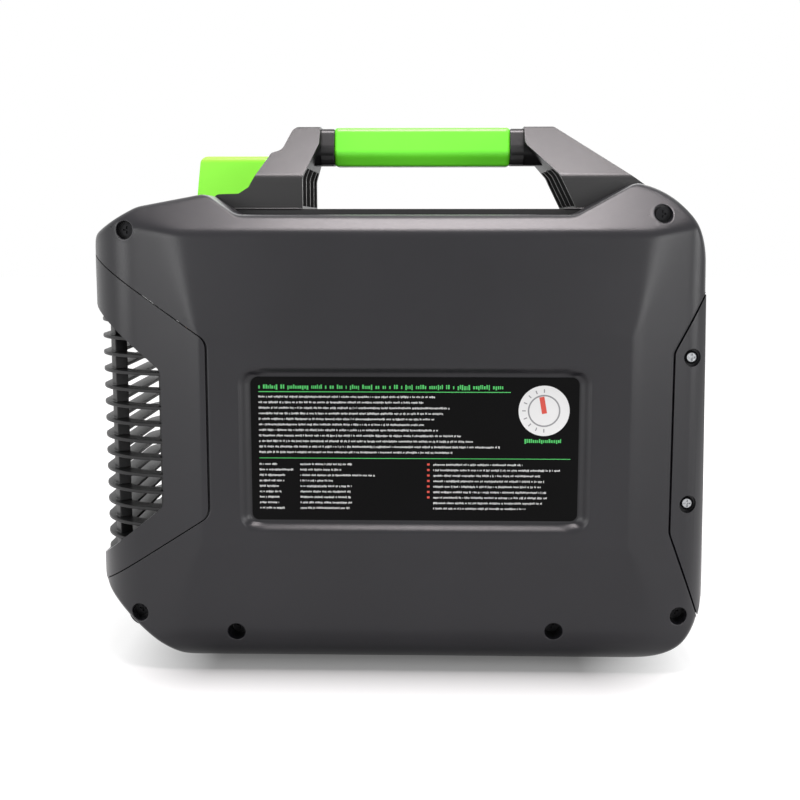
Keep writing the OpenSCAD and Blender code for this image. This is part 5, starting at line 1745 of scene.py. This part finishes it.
@dataclass(frozen=True)
class Lamp:
    """A soft lamp: its spot, its aim and its size in metres, its power and its tint."""

    name: str
    spot: tuple[float, float, float]
    aim: tuple[float, float, float]
    size: tuple[float, float]
    watts: float
    tint: Colour = (1.0, 1.0, 1.0)

    def hang(self) -> None:
        """Hangs the lamp in the scene."""
        data = bpy.data.lights.new(self.name, "AREA")
        data.shape = "RECTANGLE"
        data.size, data.size_y = self.size
        data.energy = self.watts
        data.color = self.tint
        lamp = bpy.data.objects.new(self.name, data)
        lamp.location = self.spot
        lamp.rotation_euler = looking(Vector(self.spot), Vector(self.aim))
        bpy.context.scene.collection.objects.link(lamp)


LAMPS = (
    Lamp("top_softbox", (0.035, -0.16, 1.25), (0.035, -0.16, 0.25), (0.5, 0.42), 14.0, (1.0, 0.925, 0.945)),
    Lamp("far_left_softbox", (-1.7, -0.8, 0.5), (-0.15, 0.0, 0.2), (0.6, 0.8), 7.0),
    Lamp("far_right_softbox", (1.7, -0.8, 0.45), (0.15, 0.0, 0.2), (0.6, 0.7), 8.0),
    Lamp("left_softbox", (-1.05, -1.6, 0.5), (0.0, 0.0, 0.15), (0.65, 0.8), 8.5),
    Lamp("right_softbox", (1.0, -1.6, 0.45), (0.0, 0.0, 0.18), (0.6, 0.7), 8.0),
    Lamp("back_softbox", (0.2, 1.4, 0.9), (0.0, 0.0, 0.18), (1.2, 1.2), 8.0),
)


@dataclass
class Studio:
    """Floor, lamps, world and camera. The camera's two places are millimetres, the floor's sizes metres."""

    eye: tuple[float, float, float] = (22.3, -887.1, 289.5)
    target: tuple[float, float, float] = (2.0, -112.0, 180.5)
    lens: float = 56.25
    sensor: float = 36.0
    nearest: float = 0.01
    world_light: float = 0.62
    floor_half: float = 6.0
    floor_tone: Colour = (0.36, 0.36, 0.36)
    floor_roughness: float = 0.9
    footprint: tuple[float, float, float] = (0.12, 0.1, 0.0)
    shadow_reach: float = 0.07
    floor_glow: tuple[float, float] = (0.1, 0.74)

    def build(self) -> None:
        """Builds the studio."""
        self._floor()
        self._world()
        for lamp in LAMPS:
            lamp.hang()
        self._camera()
        bpy.context.scene.view_settings.view_transform = "Standard"

    def _camera(self) -> None:
        """Sets up the camera at the photograph's viewing angle."""
        data = bpy.data.cameras.new("camera")
        data.lens = self.lens
        data.sensor_width = self.sensor
        data.clip_start = self.nearest
        camera = bpy.data.objects.new("camera", data)
        bpy.context.scene.collection.objects.link(camera)
        eye, target = (Vector([v * MM for v in spot]) for spot in (self.eye, self.target))
        camera.location = eye
        camera.rotation_euler = looking(eye, target)
        bpy.context.scene.camera = camera

    @staticmethod
    def _seen(tree: bpy.types.NodeTree) -> bpy.types.NodeSocket:
        """One for rays from the camera, a gloss or a glass, and nothing for the others.

        Args:
            tree: the tree that takes the nodes.

        Returns:
            The socket of that number.
        """
        path = tree.nodes.new("ShaderNodeLightPath").outputs
        first = Groups.number(tree, "MAXIMUM", path["Is Camera Ray"], path["Is Glossy Ray"])
        return Groups.number(tree, "MAXIMUM", first, path["Is Transmission Ray"])

    def _world(self) -> None:
        """A white surround that lights the part softly."""
        world = bpy.data.worlds.new("white_room")
        bpy.context.scene.world = world
        world.use_nodes = True
        tree = world.node_tree
        back = tree.nodes["Background"]
        back.inputs["Color"].default_value = (1.0, 1.0, 1.0, 1.0)
        strength = Groups.ramp(tree, self._seen(tree), 0.0, 1.0, (self.world_light, 1.0))
        tree.links.new(strength, back.inputs["Strength"])

    def _floor(self) -> None:
        """A pale floor that keeps the shadow of the part, and fades to white beside its footprint."""
        half = self.floor_half
        corners = [(i * half, j * half, 0.0) for i, j in ((-1, -1), (1, -1), (1, 1), (-1, 1))]
        mesh = bpy.data.meshes.new("floor")
        mesh.from_pydata(corners, [], [(0, 1, 2, 3)])
        floor = bpy.data.objects.new("floor", mesh)
        bpy.context.scene.collection.objects.link(floor)
        paint = bpy.data.materials.new("pale_floor")
        paint.use_nodes = True
        tree = paint.node_tree
        shader = tree.nodes["Principled BSDF"]
        shader.inputs["Base Color"].default_value = (*self.floor_tone, 1.0)
        shader.inputs["Roughness"].default_value = self.floor_roughness
        shader.inputs["Emission Color"].default_value = (1.0, 1.0, 1.0, 1.0)
        spot = tree.nodes.new("ShaderNodeTexCoord").outputs["Object"]
        outside = Groups.vector(tree, "SUBTRACT", Groups.vector(tree, "ABSOLUTE", spot), self.footprint)
        reach = Groups.vector(tree, "LENGTH", Groups.vector(tree, "MAXIMUM", outside))
        fade = Groups.ramp(tree, reach, 0.0, self.shadow_reach, self.floor_glow)
        glow = Groups.number(tree, "MULTIPLY", fade, self._seen(tree))
        tree.links.new(glow, shader.inputs["Emission Strength"])
        mesh.materials.append(paint)


def corners_mm(node: str) -> tuple[np.ndarray, np.ndarray]:
    """The lowest and highest corner of a CAD node, in millimetres."""
    low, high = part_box(node)
    return np.array(low) / MM, np.array(high) / MM


def middle_mm(node: str) -> tuple[float, float]:
    """The middle of a CAD node as the label side shows it: its x and z, in millimetres."""
    low, high = corners_mm(node)
    return float(low[0] + high[0]) / 2.0, float(low[2] + high[2]) / 2.0


def case_form() -> CaseForm:
    """The form of the case, with its driving sizes from the frame.

    Returns:
        The form.
    """
    shell_low = corners_mm("rear_shell")[0]
    return CaseForm(
        half_length=round(-float(corners_mm("vent_frame")[0][0]), 3),
        half_depth=round(-float(shell_low[1]), 3),
        bottom=round(float(shell_low[2]), 3),
        shoulder=round(float(corners_mm("handle_bracket")[0][2]), 3),
    )


def cover_screw_finish() -> HeadFinish:
    """The finish of the cover screws, with painted well shade at the rims of the heads, about the axes that
    their box gives.

    Returns:
        The finish.
    """
    low, high = corners_mm("cover_screws")
    x = float(low[0] + high[0]) / 2.0
    head = float(high[0] - low[0]) / 2.0
    return replace(SCREW_BRIGHT, centres=((x, float(low[2]) + head), (x, float(high[2]) - head)))


def build_case(form: CaseForm) -> None:
    """Builds the two halves of the case, their lips and the strip behind their seam.

    Args:
        form: the form of the case.
    """
    rear = CaseHalf(
        form, Side.REAR, middle_mm("rear_label"), LABEL_MOUTH, LABEL_FLOOR, LABEL_RECESS, form.wells())
    place(rear.build("rear_half"), Body.CASE, CASE_GREY, ("rear_shell",))
    place(rear.end_lips("rear_lips"), Body.CASE, CASE_GREY)
    place(rear.seam_strip("seam_strip"), Body.CASE, CASE_GREY)
    low, high = corners_mm("control_panel")
    bay = (float(high[0] - low[0]) + BAY_PLAY, float(high[2] - low[2]) + BAY_PLAY, BAY_CORNER)
    recess = form.half_depth - float(low[1]) + BAY_FLOOR_GAP
    front = CaseHalf(form, Side.FRONT, middle_mm("control_panel"), bay, bay, recess)
    place(front.build("front_half"), Body.CASE, CASE_GREY, ("front_shell",))
    place(front.end_lips("front_lips"), Body.CASE, CASE_GREY)


def build_handle(form: CaseForm) -> None:
    """Builds the grip, its collars and the trim of the legs.

    Args:
        form: the form of the case.
    """
    low, high = corners_mm("handle_grip")
    Grip(low, high).build()
    Collar("left_collar", low, high, low[0] - LEFT_COLLAR, low[0] - COLLAR_GAP).build()
    Collar("right_collar", low, high, high[0] + COLLAR_GAP, high[0] + RIGHT_COLLAR).build()
    LegTrim(float(corners_mm("handle_bracket")[1][1]), form.shoulder + DECK_RISE).build()


def build_panel_marks() -> None:
    """Builds the marks of the control panel, about the middles of its knob, buttons and ports."""
    names = ("control_knob", "start_button", "stop_button", "inlet_port", "outlet_port")
    knob, start, stop, inlet, outlet = (np.array(middle_mm(name)) for name in names)
    PanelPrint(float(corners_mm("control_panel")[1][1]), knob, [start, stop], [inlet, outlet]).build()


def main() -> None:
    """Builds every piece in order."""
    logging.basicConfig(level=logging.INFO, format="%(message)s")
    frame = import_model()
    nodes = frame["nodes"]
    Studio().build()
    for finish, names in NODE_FINISH.items():
        for name in names:
            finish.dress(nodes[name])
    cover_screw_finish().dress(nodes["cover_screws"])
    form = case_form()
    build_case(form)
    build_panel_marks()
    build_handle(form)
    LabelPrint(*corners_mm("rear_label")).build()
    for copy in (
        VentSurround("vent_frame", "vent_surround", Body.CASE, CASE_GREY, 1.2, 3, form=form),
        SoftCopy("vent_grille", "vent_hoops", Body.CASE, GRILLE_BLACK, 0.45),
        SoftCopy("end_cover", "cover_end", Body.CASE, CASE_GREY, 1.2, 3),
        HandleLegs("handle_bracket", "handle_legs", Body.CASE, BRACKET_GREY, 1.4, 3),
        SoftCopy("display_hood", "hood_shell", Body.CASE, LIME_PAINTED_LIGHT, 2.4, 3),
        SoftCopy("control_knob", "selector_knob", Body.KNOB, TRIM_BLACK, 0.6),
        SoftCopy("start_button", "start_cap", Body.START, START_GREEN, 0.4, 3),
        SoftCopy("stop_button", "stop_cap", Body.STOP, STOP_RED, 0.4, 3),
        SoftCopy("power_rocker", "rocker_cap", Body.ROCKER, STOP_RED, 0.5),
    ):
        copy.build(nodes)


if __name__ == "__main__":
    main()
